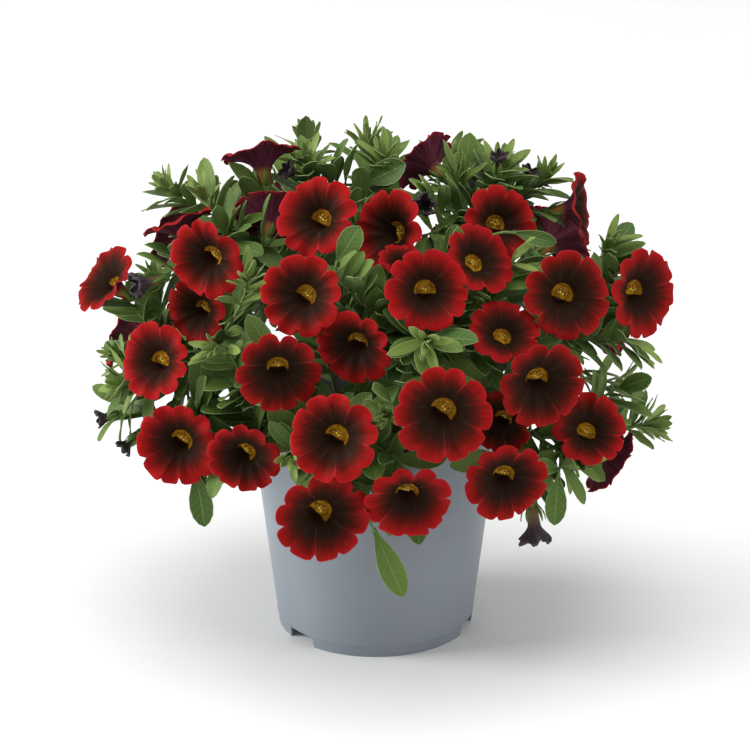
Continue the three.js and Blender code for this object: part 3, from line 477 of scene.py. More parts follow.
def leaf_around(shoot, inset, spread, turn, length, droop):
    """A young leaf of a shoot, at an angle to the shoot's own axis."""
    along, side, lift = shoot.curve.frame(1, shoot.level)
    reach = turned(shoot.tip_axis, turned(side, lift, turn), spread)
    end = shoot.curve.point(1)
    return leaf_of(
        end - along * inset, reach.normalized(), shoot.tip_axis, length, length * YOUNG_WIDTH, droop,
        shoot.stem, 1.0, end - shoot.tip_axis * inset,
    )


print("a leaf spreads at", LEAF_SPREAD, "degrees from its stem")

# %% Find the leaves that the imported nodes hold
LEAF_TURN = 137.5  # from each leaf to the next, which keeps leaves from shading each other
LEAF_LENGTH, LEAF_WIDTH = (23, 32), (0.33, 0.41)
LEAF_TRIES = [(size, turn) for size in (1, 0.74) for turn in (0, 35, -35, 75, -75, 120, -120, 165)]
ON_STEMS, ON_TWIGS = (0.3, 0.97, 15, 140), (0.2, 0.85, 36, 240)  # first, last, spacing, seed
SHOOT_LEAVES, SHOOT_SPREAD, SHOOT_STEP, SHOOT_INSET, SHOOT_DROOP = 6, (26, 62), 1.1, 0.2, 0.1
SHOOT_SIZE, SHOOT_VARIATION, SHOOT_SEED = (0.72, 1), (0.88, 1.12), 40


def held_leaves(axis, first, last, spacing, seed):
    draw = seeded(seed)
    count = int(axis.curve.length() * (last - first) / spacing)
    start = draw() * 360
    for k in range(count):
        place = between((first, last), (k + 0.5) / count)
        length = between(LEAF_LENGTH, draw())
        width = length * between(LEAF_WIDTH, draw())
        for size, turn in LEAF_TRIES:
            leaf = leaf_on(axis, place, start + LEAF_TURN * k + turn, length * size, width * size)
            if is_held(leaf.stem, tip_of(leaf)):
                yield rooted(leaf)
                break


def held_shoot_leaves(shoot, longest, seed):
    draw = seeded(seed)
    start = draw() * 360
    for k in range(SHOOT_LEAVES):
        share = k / (SHOOT_LEAVES - 1)
        length = longest * between(SHOOT_VARIATION, draw()) * between(SHOOT_SIZE, share)
        inset, spread = SHOOT_STEP * k + SHOOT_INSET, between(SHOOT_SPREAD, share)
        leaf = leaf_around(shoot, inset, spread, start + LEAF_TURN * k, length, SHOOT_DROOP)
        if is_held(leaf.stem, tip_of(leaf)):
            yield rooted(leaf)


leaves = []
for row, twig in zip(LONG_LEAVES, twigs[first_leaf:]):
    root, span = Vector(row[:3]), Vector(row[3:6]) - Vector(row[:3])
    leaves.append(leaf_of(root, span.normalized(), towards_camera, span.length, row[6], 0, twig.stem))
shoots = [(axis, row[-1]) for axis, row in zip(stems + twigs[first_shoot:], STEMS + SHOOTS)]
for i, (shoot, longest) in enumerate(shoots):
    leaves += held_shoot_leaves(shoot, longest, SHOOT_SEED + i)
for axes, (first, last, spacing, seed) in ((stems, ON_STEMS), (twigs, ON_TWIGS)):
    for i, axis in enumerate(axes):
        leaves += held_leaves(axis, first, last, spacing, seed + i)
print(len(leaves), "leaves,", sum(leaf.young > 0 for leaf in leaves), "of them young")

# %% [markdown]
# ## More leaves between them
#
# The solid model keeps to a few hundred leaves. The real plant has many more, and between the flowers
# one sees little but leaves with dark gaps behind them. The rest is added here along the same stems
# and twigs. A new leaf stays out of the flowers and of the sight of those that look at the front,
# away from the pot, inside the box, and a little away from other leaves. The leaves of a tuft are so
# dense that they may touch.

# %% What a new leaf keeps clear of
RIM_RADIUS = 19.6
FLARE_BACK, FLARE_START, FLARE_SLOPE = 11, 5, 0.35  # the flare's back: height, at which radius, its rise
FLARE_ROOM, FACE_ROOM = 0.6, 6  # outside the rim, and in front of the face
TUBE_RADIUS, TUBE_SLOPE, TUBE_TOP = 3, 0.25, 13
SIGHT_DEPTH, SIGHT_RADIUS, SIGHT_FACING = 60, 0.8, 0.7
POT_RADIUS, POT_TOP = 63, 107.5
BOX_MARGIN = 0.5
BUD_SHARE = 0.4  # a bud needs less room than an open flower of its size


def stacked(vectors):
    return np.array([tuple(vector) for vector in vectors])


every = flowers + buds
every_base, every_axis = stacked(f.base for f in every), stacked(f.axis for f in every)
every_face = stacked(f.face for f in every)
every_size = np.array([f.size for f in flowers] + [f.size * BUD_SHARE for f in buds])
every_front = every_axis @ np.array(towards_camera)
box_low, box_high = (np.array(corner) / MM for corner in cad_box)


def is_free(point):
    """Whether a point is clear of the flowers, of the sight of their faces, of the pot and the box."""
    point = np.array(point)
    if np.any(point < box_low + BOX_MARGIN) or np.any(point > box_high - BOX_MARGIN):
        return False
    if point[2] < POT_TOP and hypot(point[0], point[1]) < POT_RADIUS:
        return False
    from_base = point - every_base
    height = np.sum(from_base * every_axis, axis=1)
    radius = np.linalg.norm(from_base - height[:, None] * every_axis, axis=1)
    back = every_size * FLARE_BACK + (radius - FLARE_START * every_size) * FLARE_SLOPE
    front = RIM_LEVEL * every_size + FACE_ROOM
    in_flare = (radius < (RIM_RADIUS + FLARE_ROOM) * every_size) & (height > back) & (height < front)
    in_tube = (radius < TUBE_RADIUS + TUBE_SLOPE * height) & (height > 0) & (height < TUBE_TOP * every_size)
    depth = np.sum((point - every_face) * every_axis, axis=1) / every_front
    seen_at = point - depth[:, None] * np.array(towards_camera) - every_face
    in_sight = (every_front > SIGHT_FACING) & (depth > 0) & (depth < SIGHT_DEPTH)
    in_sight &= np.linalg.norm(seen_at, axis=1) < RIM_RADIUS * SIGHT_RADIUS * every_size
    return not np.any(in_flare | in_tube | in_sight)


print("clear of", len(every), "flowers")

# %% A grid of the places that leaves have taken
LEAF_GAP = 2.0
TEST_SPOTS = ((0.3, 0), (0.5, 0.45), (0.7, 0.45), (0.85, 0), (1, 0))  # along a leaf, and to both sides

leaf_cells = {}


def cell_of(point):
    return tuple(int(x // LEAF_GAP) for x in point)


def spots_on(leaf):
    """Points down the middle of a leaf and at its widest, which stand for it in the tests."""
    for share, out in TEST_SPOTS:
        middle = leaf.root + leaf.along * (leaf.length * share)
        middle -= leaf.normal * (leaf.droop * leaf.length * share**2)
        yield middle
        if out:
            side = leaf.along.cross(leaf.normal) * (leaf.width * out)
            yield middle + side
            yield middle - side


def is_apart(leaf):
    for spot in spots_on(leaf):
        x, y, z = cell_of(spot)
        for cell in ((x + i, y + j, z + k) for i in (-1, 0, 1) for j in (-1, 0, 1) for k in (-1, 0, 1)):
            if any((spot - other).length < LEAF_GAP for other in leaf_cells.get(cell, ())):
                return False
    return True


def settle(leaf):
    for spot in spots_on(leaf):
        leaf_cells.setdefault(cell_of(spot), []).append(spot)


for leaf in leaves:
    settle(leaf)
print(len(leaf_cells), "cells taken")

# %% Add the leaves
MORE_SEED, MORE_SPACING, MORE_TURNS = 11, 2.4, 5
MORE_LENGTH, MORE_WIDTH, MORE_YOUTH = (15, 27), (0.32, 0.42), 0.5
MORE_ON_STEMS, MORE_ON_TWIGS = (0.16, 0.97), (0.12, 0.88)  # from where to where
TUFT_LEAVES, TUFT_SPREAD, TUFT_SIZE, TUFT_INSET, TUFT_DROOP = 12, (6, 56), (0.4, 0.85), (-0.5, 6), 0.15

chance = random.Random(MORE_SEED)


def is_clear(leaf):
    return all(is_free(spot) for spot in spots_on(leaf))


for axes, stretch in ((stems, MORE_ON_STEMS), (twigs, MORE_ON_TWIGS)):
    for axis in axes:
        count = int(axis.curve.length() * (stretch[1] - stretch[0]) / MORE_SPACING)
        for k in range(count):
            place = between(stretch, (k + chance.random()) / count)
            for _ in range(MORE_TURNS):
                length = between(MORE_LENGTH, chance.random())
                width = length * between(MORE_WIDTH, chance.random())
                leaf = rooted(leaf_on(axis, place, chance.uniform(0, 360), length, width))
                leaf.young = chance.uniform(0, MORE_YOUTH)
                if is_clear(leaf) and is_apart(leaf):
                    leaves.append(leaf)
                    settle(leaf)
                    break
old_count = len(leaves)
for shoot, longest in shoots:
    for k in range(TUFT_LEAVES):
        spread = between(TUFT_SPREAD, (k + chance.random()) / TUFT_LEAVES)
        length = longest * between(TUFT_SIZE, chance.random())
        inset, turn = chance.uniform(*TUFT_INSET), chance.uniform(0, 360)
        droop = chance.uniform(-TUFT_DROOP, TUFT_DROOP)
        leaf = rooted(leaf_around(shoot, inset, spread, turn, length, droop))
        if is_clear(leaf):
            leaves.append(leaf)
print(old_count, "leaves, and", len(leaves) - old_count, "in the tufts")

# %% [markdown]
# ## Blanks to stamp from
#
# Every leaf is the same sheet of faces bent another way, and every stem, petal trumpet and sepal is
# the same tube. So a sheet and a few tubes are made once with operators. A copy of such a blank goes
# into a piece, and its vertices are moved to their place. This keeps the many repeats light, and a
# leaf or petal is changed by changing one short function.

# %% A flat sheet, a straight tube and a disc
LEAF_COLUMNS, LEAF_ROWS = 4, 7


def kept_mesh(bm, name):
    mesh = bpy.data.meshes.new(name)
    bm.to_mesh(mesh)
    bm.free()
    return mesh


def sheet_blank(columns, rows):
    """A sheet, x from -1 to 1 across and y from 0 to 1 along, and the same as its UV map."""
    bm = bmesh.new()
    bmesh.ops.create_grid(bm, x_segments=columns, y_segments=rows, size=1)
    bmesh.ops.scale(bm, vec=(1, 0.5, 1), verts=bm.verts)
    bmesh.ops.translate(bm, vec=(0, 0.5, 0), verts=bm.verts)
    blade = bm.loops.layers.uv.new("blade")
    for loop in (loop for face in bm.faces for loop in face.loops):
        loop[blade].uv = ((loop.vert.co.x + 1) / 2, loop.vert.co.y)
    return kept_mesh(bm, "sheet")


def tube_blank(sides, steps, closed):
    """A tube of radius 1 along z from 0 to 1."""
    bm = bmesh.new()
    bmesh.ops.create_cone(bm, cap_ends=closed, segments=sides, radius1=1, radius2=1, depth=1)
    bmesh.ops.translate(bm, vec=(0, 0, 0.5), verts=bm.verts)
    lengthwise = [edge for edge in bm.edges if abs(edge.verts[0].co.z - edge.verts[1].co.z) > 0.5]
    bmesh.ops.subdivide_edges(bm, edges=lengthwise, cuts=steps - 1, use_grid_fill=True)
    return kept_mesh(bm, "tube")


def disc_blank(sides):
    """A flat disc of radius 1 that faces down."""
    bm = bmesh.new()
    bmesh.ops.create_circle(bm, cap_ends=True, cap_tris=True, segments=sides, radius=1)
    bmesh.ops.reverse_faces(bm, faces=bm.faces)
    return kept_mesh(bm, "disc")


leaf_blank, palate_blank = sheet_blank(LEAF_COLUMNS, LEAF_ROWS), disc_blank(16)
stem_blank, twig_blank = tube_blank(10, 28, True), tube_blank(6, 12, True)
sepal_blank, cup_blank = tube_blank(4, 4, True), tube_blank(10, 5, True)
trumpet_blank, wilted_blank = tube_blank(80, 12, False), tube_blank(28, 12, False)
print("a leaf has", len(leaf_blank.polygons), "faces, a trumpet", len(trumpet_blank.polygons))

# %% Stamp a blank, and finish a piece
MARK = "mark"  # three numbers on each vertex, which the material reads


def new_piece():
    bm = bmesh.new()
    bm.verts.layers.float_vector.new(MARK)
    bm.loops.layers.uv.new("blade")
    return bm


def stamp(bm, blank, place, mark):
    """Copies a blank into a piece, moves its vertices to their place and marks them."""
    first = len(bm.verts)
    bm.from_mesh(blank)
    bm.verts.ensure_lookup_table()
    layer = bm.verts.layers.float_vector[MARK]
    for vertex in bm.verts[first:]:
        spot = vertex.co.copy()
        vertex.co = place(*spot)
        vertex[layer] = mark(*spot) if callable(mark) else mark


def finished(bm, name, nodes, materials, thickness=0.0):
    """The piece as an object in metres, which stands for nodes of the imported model."""
    for edge in bm.edges:
        edge.smooth = not edge.is_boundary
    for face in bm.faces:
        face.smooth = True
    bmesh.ops.scale(bm, vec=(MM, MM, MM), verts=bm.verts)
    piece = new_object(name, kept_mesh(bm, name))
    for material in materials:
        piece.data.materials.append(material)
    if thickness:
        shell = piece.modifiers.new("thickness", "SOLIDIFY")
        shell.thickness = thickness * MM
        shell.offset = -1
        shell.material_offset = shell.material_offset_rim = 1
    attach(piece, "root")
    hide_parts(*nodes)
    return piece


print("pieces can be stamped and finished")

# %% [markdown]
# ## Writing a material as a sum
#
# A plant's colours come from a few simple patterns that are added and mixed: streaks, a margin, a
# vein. Written as node links such a sum is hard to read, so a small class wraps a socket, and plus,
# minus and times on it add the Math nodes. Colours are mixed with Mix nodes, never with Math.

# %% Sockets that can be added and multiplied
class Wire:
    """A value that comes out of a node. Sums and products of wires add Math nodes."""

    def __init__(self, graph, socket):
        self.graph, self.socket = graph, socket

    def __add__(self, other):
        return self.graph.maths("ADD", self, other)

    def __sub__(self, other):
        return self.graph.maths("SUBTRACT", self, other)

    def __rsub__(self, other):
        return self.graph.maths("SUBTRACT", other, self)

    def __mul__(self, other):
        return self.graph.maths("MULTIPLY", self, other)

    def __truediv__(self, other):
        return self.graph.maths("DIVIDE", self, other)

    __radd__, __rmul__ = __add__, __mul__


print("wires can be added, subtracted, multiplied and divided")

# %% The nodes of a material
class Graph:
    """One material. Its shader's constants are given by name, and its wires by what feeds them."""

    def __init__(self, name, **constants):
        self.material = bpy.data.materials.new(name)
        self.material.use_nodes = True
        self.tree = self.material.node_tree
        self.shader = next(node for node in self.tree.nodes if node.type == "BSDF_PRINCIPLED")
        for socket in self.shader.inputs:
            key = socket.name.lower().replace(" ", "_")
            if key in constants:
                socket.default_value = constants[key]

    def connect(self, target, value):
        if isinstance(value, Wire):
            self.tree.links.new(value.socket, target)
        elif isinstance(value, tuple) and len(target.default_value) == 4:
            target.default_value = (*value, 1)
        else:
            target.default_value = value

    def node(self, kind, settings=None, inputs=None, output=0):
        made = self.tree.nodes.new(kind)
        for name, value in (settings or {}).items():
            setattr(made, name, value)
        for socket, value in (inputs or {}).items():
            self.connect(made.inputs[socket], value)
        return Wire(self, made.outputs[output])

    def maths(self, operation, *values):
        return self.node("ShaderNodeMath", {"operation": operation}, dict(enumerate(values)))

    def marks(self):
        """The three numbers of the vertices."""
        return self.parts(self.node("ShaderNodeAttribute", {"attribute_name": MARK}, output="Vector"))

    def parts(self, vector):
        split = self.node("ShaderNodeSeparateXYZ", inputs={0: vector}).socket.node
        return [Wire(self, socket) for socket in split.outputs]

    def vector(self, x, y, z):
        return self.node("ShaderNodeCombineXYZ", inputs={0: x, 1: y, 2: z})

    def here(self):
        return self.node("ShaderNodeTexCoord", output="Object")

    def noise(self, vector, scale, detail=2.0, roughness=0.5):
        inputs = {"Vector": vector, "Scale": scale, "Detail": detail, "Roughness": roughness}
        return self.node("ShaderNodeTexNoise", None, inputs)

    def step(self, value, low, high):
        """0 below low, 1 above high, and smooth between them."""
        settings = {"interpolation_type": "SMOOTHSTEP"}
        return self.node("ShaderNodeMapRange", settings, {0: value, 1: low, 2: high})

    def window(self, value, low, high, soft):
        """1 between low and high, 0 outside, with soft ends."""
        return self.step(value, low - soft, low + soft) * (1 - self.step(value, high - soft, high + soft))

    def mix(self, factor, first, second):
        return self.node("ShaderNodeMix", {"data_type": "RGBA"}, {0: factor, 6: first, 7: second}, output=2)

    def fade(self, value, low, high, first, second):
        """The first colour where a value is below low and the second where it is above high."""
        return self.mix(self.step(value, low, high), first, second)

    def skin(self, colour, height=0.0, strength=0.0, distance=0.0, **others):
        """The finished material: its colour, a bump of some height, and what else varies."""
        others["Base Color"] = colour
        if strength:
            inputs = {"Height": height, "Strength": strength, "Distance": distance}
            others["Normal"] = self.node("ShaderNodeBump", None, inputs)
        for socket, value in others.items():
            self.connect(self.shader.inputs[socket], value)
        return self.material


print("materials are ready to be written")

# %% [markdown]
# ## The petals' colours
#
# The face of this flower is nearly black in the middle and bright red at the margin. The red runs
# inwards in fine streaks along the veins, and no two flowers have the same share of it. The mark of a
# petal's vertex is its place on the flower, x and y on a disc of radius 1, and a number of its own
# flower. Noise on the direction alone gives streaks, because it doesn't change outwards.

# %% Patterns that both sides of a petal need
def petal_graph(name, roughness):
    graph = Graph(name, roughness=roughness, specular_ior_level=0.03)
    across, up, own = graph.marks()
    flat = graph.vector(across, up, 0)
    reach = graph.node("ShaderNodeVectorMath", {"operation": "LENGTH"}, {0: flat}, output="Value")
    turn_x, turn_y = across / reach, up / reach
    graph.reach, graph.own, graph.up = reach, own, up
    graph.streaks = graph.noise(graph.vector(turn_x * 7, turn_y * 7, own * 37 + reach * 1.2), 1.6, 3, 0.6)
    graph.veins = graph.noise(graph.vector(turn_x * 20, turn_y * 20, own * 53 + reach * 0.8), 1.6, 2, 0.5)
    graph.angle = graph.maths("ARCTAN2", across, up)
    graph.seam = graph.step(graph.maths("COSINE", graph.angle * 5), 0.985, 1.0)
    return graph


print("petal patterns: streaks, veins and the seams between petals")

# %% The face of a petal, from the dark middle to the red margin, with a painted highlight along its edge
BLACK_RED, DEEP_RED, RED = (0.0200, 0.0086, 0.0046), (0.085, 0.0072, 0.0046), (0.245, 0.0072, 0.0060)
# The last colour of the next row is a grey painted highlight on the glossy ribs near the throat.
# The middle colour of the next row is the seams' pale colour and, round the rim, a painted highlight.
MARGIN_RED, PALE_SEAM_AND_RIM_HIGHLIGHT, CREASE_HIGHLIGHT = (0.33, 0.0070, 0.0090), (0.44, 0.040, 0.040), (0.07, 0.05, 0.042)

graph = petal_graph("petal_face", 0.55)
streaks, veins, reach = graph.streaks, graph.veins, graph.reach
edge = reach + (streaks - 0.5) * 0.34 + (veins - 0.5) * 0.16 + (graph.own - 0.5) * 0.16
colour = graph.fade(edge, 0.45, 0.74, BLACK_RED, DEEP_RED)
colour = graph.fade(edge, 0.66, 0.88, colour, RED)
colour = graph.fade(edge, 0.84, 1.02, colour, MARGIN_RED)
fine_veins = graph.step(veins, 0.52, 0.66) * graph.window(reach, 0.62, 0.9, 0.08)
colour = graph.mix(fine_veins * 0.45, colour, DEEP_RED)
# Fine lines that radiate from the throat: their grey colour is a painted highlight on the glossy ribs, and
# they also raise the bump.
crease_and_highlight = graph.step(graph.maths("COSINE", graph.angle * 10 + (streaks - 0.5) * 6), 0.9, 1.0)
crease_and_highlight = crease_and_highlight * graph.step(streaks, 0.42, 0.6)
colour = graph.mix(crease_and_highlight * graph.window(reach, 0.32, 0.52, 0.1) * 0.35, colour, CREASE_HIGHLIGHT)
seam_share = graph.seam * graph.step(reach, 0.42, 0.95) * (graph.step(streaks, 0.35, 0.65) + 0.3)
colour = graph.mix(seam_share * 0.3, colour, PALE_SEAM_AND_RIM_HIGHLIGHT)
# A thin pale line round the rim is a painted highlight where light catches the edge.
colour = graph.mix(graph.step(reach, 0.975, 1.0) * 0.45, colour, PALE_SEAM_AND_RIM_HIGHLIGHT)
relief = veins + graph.seam * -0.5 + crease_and_highlight * 0.3
print(len(graph.tree.nodes), "nodes before the throat")

# %% The yellow throat, striped with brown, its near half in painted shade
THROAT, THROAT_BROWN = (0.46, 0.23, 0.012), (0.24, 0.105, 0.008)

stripes = graph.step(graph.maths("COSINE", graph.angle * 26 + graph.own * 20), 0.2, 0.9)
yellow = graph.fade(graph.noise(graph.here(), 420, 2), 0.36, 0.62, THROAT_BROWN, THROAT)
yellow = graph.mix(stripes * graph.step(reach, 0.12, 0.2) * 0.7, yellow, THROAT_BROWN)
throat = reach + (streaks - 0.5) * 0.06 + (veins - 0.5) * 0.04
# Only the far half of the throat is yellow; the near half keeps the dark colour of the face, as painted shade
# of the tube's near wall over its opening.
lit_far_wall = graph.step(graph.up, -0.085, -0.055)
yellow_share = (1 - graph.step(throat, 0.235, 0.27)) * lit_far_wall
petal_face = graph.skin(graph.mix(yellow_share, colour, yellow), relief, 0.4, 0.0005)
print(len(graph.tree.nodes), "nodes with the throat")

# %% The back of a petal, the tube and the beads in the throat
BACK, BACK_VEIN, BACK_EDGE = (0.15, 0.036, 0.062), (0.07, 0.014, 0.026), (0.30, 0.02, 0.035)
TUBE = (0.42, 0.20, 0.04)

graph = petal_graph("petal_back", 0.6)
colour = graph.fade(graph.veins, 0.4, 0.65, BACK_VEIN, BACK)
colour = graph.fade(graph.reach + (graph.streaks - 0.5) * 0.3, 0.78, 0.98, colour, BACK_EDGE)
tube = graph.mix(graph.step(graph.veins, 0.48, 0.6) * 0.7, TUBE, BACK_VEIN)
petal_back = graph.skin(graph.fade(graph.reach, 0.13, 0.24, tube, colour), graph.veins, 0.4, 0.0004)


def bead_skin(name, roughness, dark, light):
    graph = Graph(name, roughness=roughness)
    return graph.skin(graph.fade(graph.noise(graph.here(), 900), 0.35, 0.65, dark, light))


anther = bead_skin("anther", 0.7, (0.22, 0.10, 0.008), (0.46, 0.24, 0.014))
# The two bright beads: their yellow-green is partly their own colour and partly a painted glint.
stigma_glint = bead_skin("stigma_glint", 0.3, (0.6, 0.52, 0.05), (0.85, 0.78, 0.14))
petal_skins = [petal_face, petal_back, anther, stigma_glint]
print("a flower's materials:", [skin.name for skin in petal_skins])

# %% [markdown]
# ## The greens
#
# The leaves are mid green and matt, with a paler midrib, faint side veins and a thin pale edge. Young
# leaves at the tips are lighter and yellower, and old ones lower down are darker. A leaf is marked
# with how young it is and a number of its own. The pattern lies on the leaf's own UV map. The stems
# are marked with how far up they are, and with whether they are a calyx.

# %% The upper side and the underside of a leaf
MID_GREEN, YOUNG_GREEN, DARK_GREEN = (0.098, 0.172, 0.027), (0.19, 0.272, 0.054), (0.052, 0.110, 0.018)
MIDRIB_GREEN, RIM_GREEN, UNDERSIDE = (0.26, 0.35, 0.11), (0.30, 0.38, 0.17), (0.17, 0.24, 0.08)


def leaf_skin(name, under):
    graph = Graph(name, roughness=0.65 if under else 0.55, specular_ior_level=0.25)
    young, own, _ = graph.marks()
    across, along, _ = graph.parts(graph.node("ShaderNodeUVMap", {"uv_map": "blade"}))
    off_middle = graph.maths("ABSOLUTE", across * 2 - 1)
    mottle = graph.noise(graph.here(), 220, 3)
    green = graph.fade(own + (mottle - 0.5) * 0.5, 0.05, 0.95, DARK_GREEN, MID_GREEN)
    green = graph.fade(young, 0.0, 1.0, green, YOUNG_GREEN)
    side_veins = graph.step(graph.maths("SINE", along * 62 - off_middle * 9), 0.72, 1.0)
    side_veins = side_veins * graph.window(off_middle, 0.1, 0.86, 0.06)
    midrib = 1 - graph.step(off_middle, 0.03, 0.13 if under else 0.09)
    pale = graph.mix(0.5, green, MIDRIB_GREEN)
    green = graph.mix(side_veins * 0.35, green, pale)
    green = graph.mix(midrib * 0.75, green, pale)
    green = graph.mix(graph.step(off_middle, 0.9, 1.0) * 0.65, green, RIM_GREEN)
    green = graph.mix(0.5, green, UNDERSIDE) if under else green
    relief = mottle * 0.4 - side_veins * 0.6 - midrib * (-1 if under else 1)
    return graph.skin(green, relief, 0.5, 0.0003)


leaf_skins = [leaf_skin("leaf_top", False), leaf_skin("leaf_under", True)]
print("a leaf's materials:", [skin.name for skin in leaf_skins])

# %% Stems and calyxes
STEM_GREEN, STEM_BROWN, CALYX_GREEN = (0.13, 0.20, 0.055), (0.12, 0.09, 0.035), (0.075, 0.175, 0.04)

graph = Graph("stem_skin", roughness=0.6, specular_ior_level=0.25)
age, _, calyx = graph.marks()
grain = graph.noise(graph.here(), 340, 3)
colour = graph.fade(age + (grain - 0.5) * 0.5, 0.1, 0.6, STEM_BROWN, STEM_GREEN)
colour = graph.mix(calyx, colour, graph.mix(grain, CALYX_GREEN, MID_GREEN))
stem_skin = graph.skin(colour, grain, 0.4, 0.0003)
print("the stems' material:", stem_skin.name)

# %% [markdown]
# ## Stems, twigs and calyxes
#
# The thin stems are round, brownish at the foot and green above. Each flower sits in a calyx: a small
# cup with five narrow pointed sepals that lean away from the tube. Tubes stamped along the sweeps
# make the stems, and a sepal is a tube too, pressed flat and drawn to a point.

# %% Where the points of a tube go
def row_at(profile, z):
    """The row of a profile at a height of the blank, which has as many steps."""
    return profile[round(z * (len(profile) - 1))]


def along_sweep(sweep, level, radii, foot=0.0):
    """A stem's vertices lie along its sweep, after a straight foot of some length."""
    span = sweep.length() + foot

    def place(x, y, z):
        t = (z * span - foot) / (span - foot)
        _, side, lift = sweep.frame(max(t, 0), level)
        centre = sweep.point(max(t, 0)) + UP * (min(t, 0) * (span - foot))
        return centre + (side * x + lift * y) * between(radii, z)

    return place


def spoke(flower, angle):
    """Outwards from a flower's axis, at an angle from its lift."""
    return flower.side * sin(angle) - flower.lift * cos(angle)


def around(flower, angle, out, level):
    """The point at a height up a flower's axis, and some way out from it at an angle."""
    return flower.base + spoke(flower, angle) * out + flower.axis * level


print("the first flower's base is at", tuple(around(blooms[0], 0, 0, 0)))

# %% A calyx: a cup and five sepals
CUP_PROFILE = ((0.9, -3.9), (1.9, -3.4), (2.4, -2.4), (2.5, -1.4), (2.6, -0.6), (2.45, 0.3))
SEPAL_START = (2.1, -0.7)  # radius and height
OPEN_SEPAL, SPENT_SEPAL = (6.4, 7.2, 1.15), (3.4, 7.0, 1.5)  # where they end, and their half width
SEPAL_SWELL, SEPAL_THICKNESS, SEPAL_POINT = 0.9, 0.3, 0.06
SEPAL_FOOT, SEPAL_BELLY = 0.55, 1.9  # its width at the foot as a share, and what its middle adds
LEAST_CALYX = 0.8
CALYX_MARK = (1, 0.5, 1)


def draw_calyx(bm, flower, sepal):
    size = max(flower.size, LEAST_CALYX)
    *sepal_end, half = sepal

    def cup(x, y, z):
        radius, level = row_at(CUP_PROFILE, z)
        return around(flower, atan2(x, y), hypot(x, y) * radius * size, level)

    stamp(bm, cup_blank, cup, CALYX_MARK)
    for angle in (k * tau / 5 for k in range(5)):
        out, across = spoke(flower, angle), spoke(flower, angle + pi / 2)

        def blade(x, y, z):
            radius, level = (between(start_end, z) for start_end in zip(SEPAL_START, sepal_end))
            radius += SEPAL_SWELL * sin(z * pi) - SEPAL_SWELL * z
            width = half * (SEPAL_FOOT + SEPAL_BELLY * z * (1 - z)) * (1 - z**3) + SEPAL_POINT
            middle = flower.base + out * radius * size + flower.axis * level
            return middle + across * (x * width) + (out * 0.8 - flower.axis * 0.6) * (y * SEPAL_THICKNESS)

        stamp(bm, sepal_blank, blade, CALYX_MARK)


print("a sepal is", 2 * OPEN_SEPAL[2], "mm wide at most")

# %% Make the stem pieces
STEM_RADII, TWIG_RADII = (1.35, 0.85), (0.85, 0.62)  # at the foot and at the end
STEM_FOOT = 15.7  # how far a stem stands in the peat
TWIG_MARK = (0.9, 0.5, 0)

calyxes = [(flower, twig.stem, OPEN_SEPAL) for flower, twig in zip(flowers, twigs)]
calyxes += [(bud, twig.stem, SPENT_SEPAL) for bud, twig in zip(buds, twigs[first_bud:])]
for stem in stems:
    bm = new_piece()
    place = along_sweep(stem.curve.sweep, stem.level, STEM_RADII, STEM_FOOT)
    stamp(bm, stem_blank, place, lambda x, y, z: (z, 0.5, 0))
    for twig in (twig for twig in twigs if twig.stem == stem.stem):
        stamp(bm, twig_blank, along_sweep(twig.curve.sweep, twig.level, TWIG_RADII), TWIG_MARK)
    for flower, number, sepal in calyxes:
        if number == stem.stem:
            draw_calyx(bm, flower, sepal)
    piece = finished(bm, f"stem_{stem.stem + 1:02d}", [NODE_OF_STEM[stem.stem]], [stem_skin])
    print(piece.name, len(piece.data.polygons), "faces")

# %% [markdown]
# ## Leaves
#
# A leaf is a thin sheet, widest a little past its middle, folded slightly upwards along the midrib
# and arched down towards its tip. Young ones are narrower and straighter. Wavy edges and a curl that
# differs from leaf to leaf stop them looking stamped. The sheet gets its thickness from a Solidify
# modifier, which also gives the underside its own paler material.

# %% The outline of a leaf
LEAF_OUTLINE = (  # place along the leaf, then the width of an old and of a young leaf, as shares
    (0, 0.12, 0.35), (0.12, 0.22, 0.6), (0.3, 0.62, 0.85), (0.48, 0.93, 1.0),
    (0.66, 1.0, 0.95), (0.82, 0.85, 0.76), (0.94, 0.48, 0.42), (1, 0.04, 0.04),
)
LEAF_BEND, LEAF_WAVE, LEAF_GROOVE = 1.3, 9, 0.25  # how late an edge rises, its waves, the midrib's dip


def lie(leaf, fold, ripple, phase):
    """Where a leaf's vertices go: x across from edge to edge, y from the root to the tip."""
    side = leaf.along.cross(leaf.normal)

    def place(x, y, z):
        y, *widths = LEAF_OUTLINE[round(y * LEAF_ROWS)]
        half = leaf.width / 2 * between(widths, leaf.young)
        edge = abs(x) ** LEAF_BEND
        rise = fold * half * edge + ripple * edge * sin(phase + y * LEAF_WAVE + x)
        rise -= LEAF_GROOVE * (1 - abs(x)) * (1 - y) + leaf.droop * leaf.length * y * y
        return leaf.root + leaf.along * (leaf.length * y) + side * (x * half) + leaf.normal * rise

    return place


print("a leaf is widest at", max(LEAF_OUTLINE, key=lambda row: row[1])[0], "of its length")

# %% Make the foliage pieces
LEAF_SEED, LEAF_THICKNESS, LEAF_FOLD, LEAF_RIPPLE = 23, 0.35, (0.1, 0.3), (0.1, 0.5)

chance = random.Random(LEAF_SEED)
for stem in stems:
    bm = new_piece()
    own = [leaf for leaf in leaves if leaf.stem == stem.stem]
    for leaf in own:
        fold, ripple = chance.uniform(*LEAF_FOLD), chance.uniform(*LEAF_RIPPLE)
        place = lie(leaf, fold, ripple, chance.uniform(0, tau))
        stamp(bm, leaf_blank, place, (leaf.young, chance.random(), 0))
    name = f"foliage_{stem.stem + 1:02d}"
    finished(bm, name, [NODE_OF_STEM[stem.stem]], leaf_skins, LEAF_THICKNESS)
    print(name, len(own), "leaves")

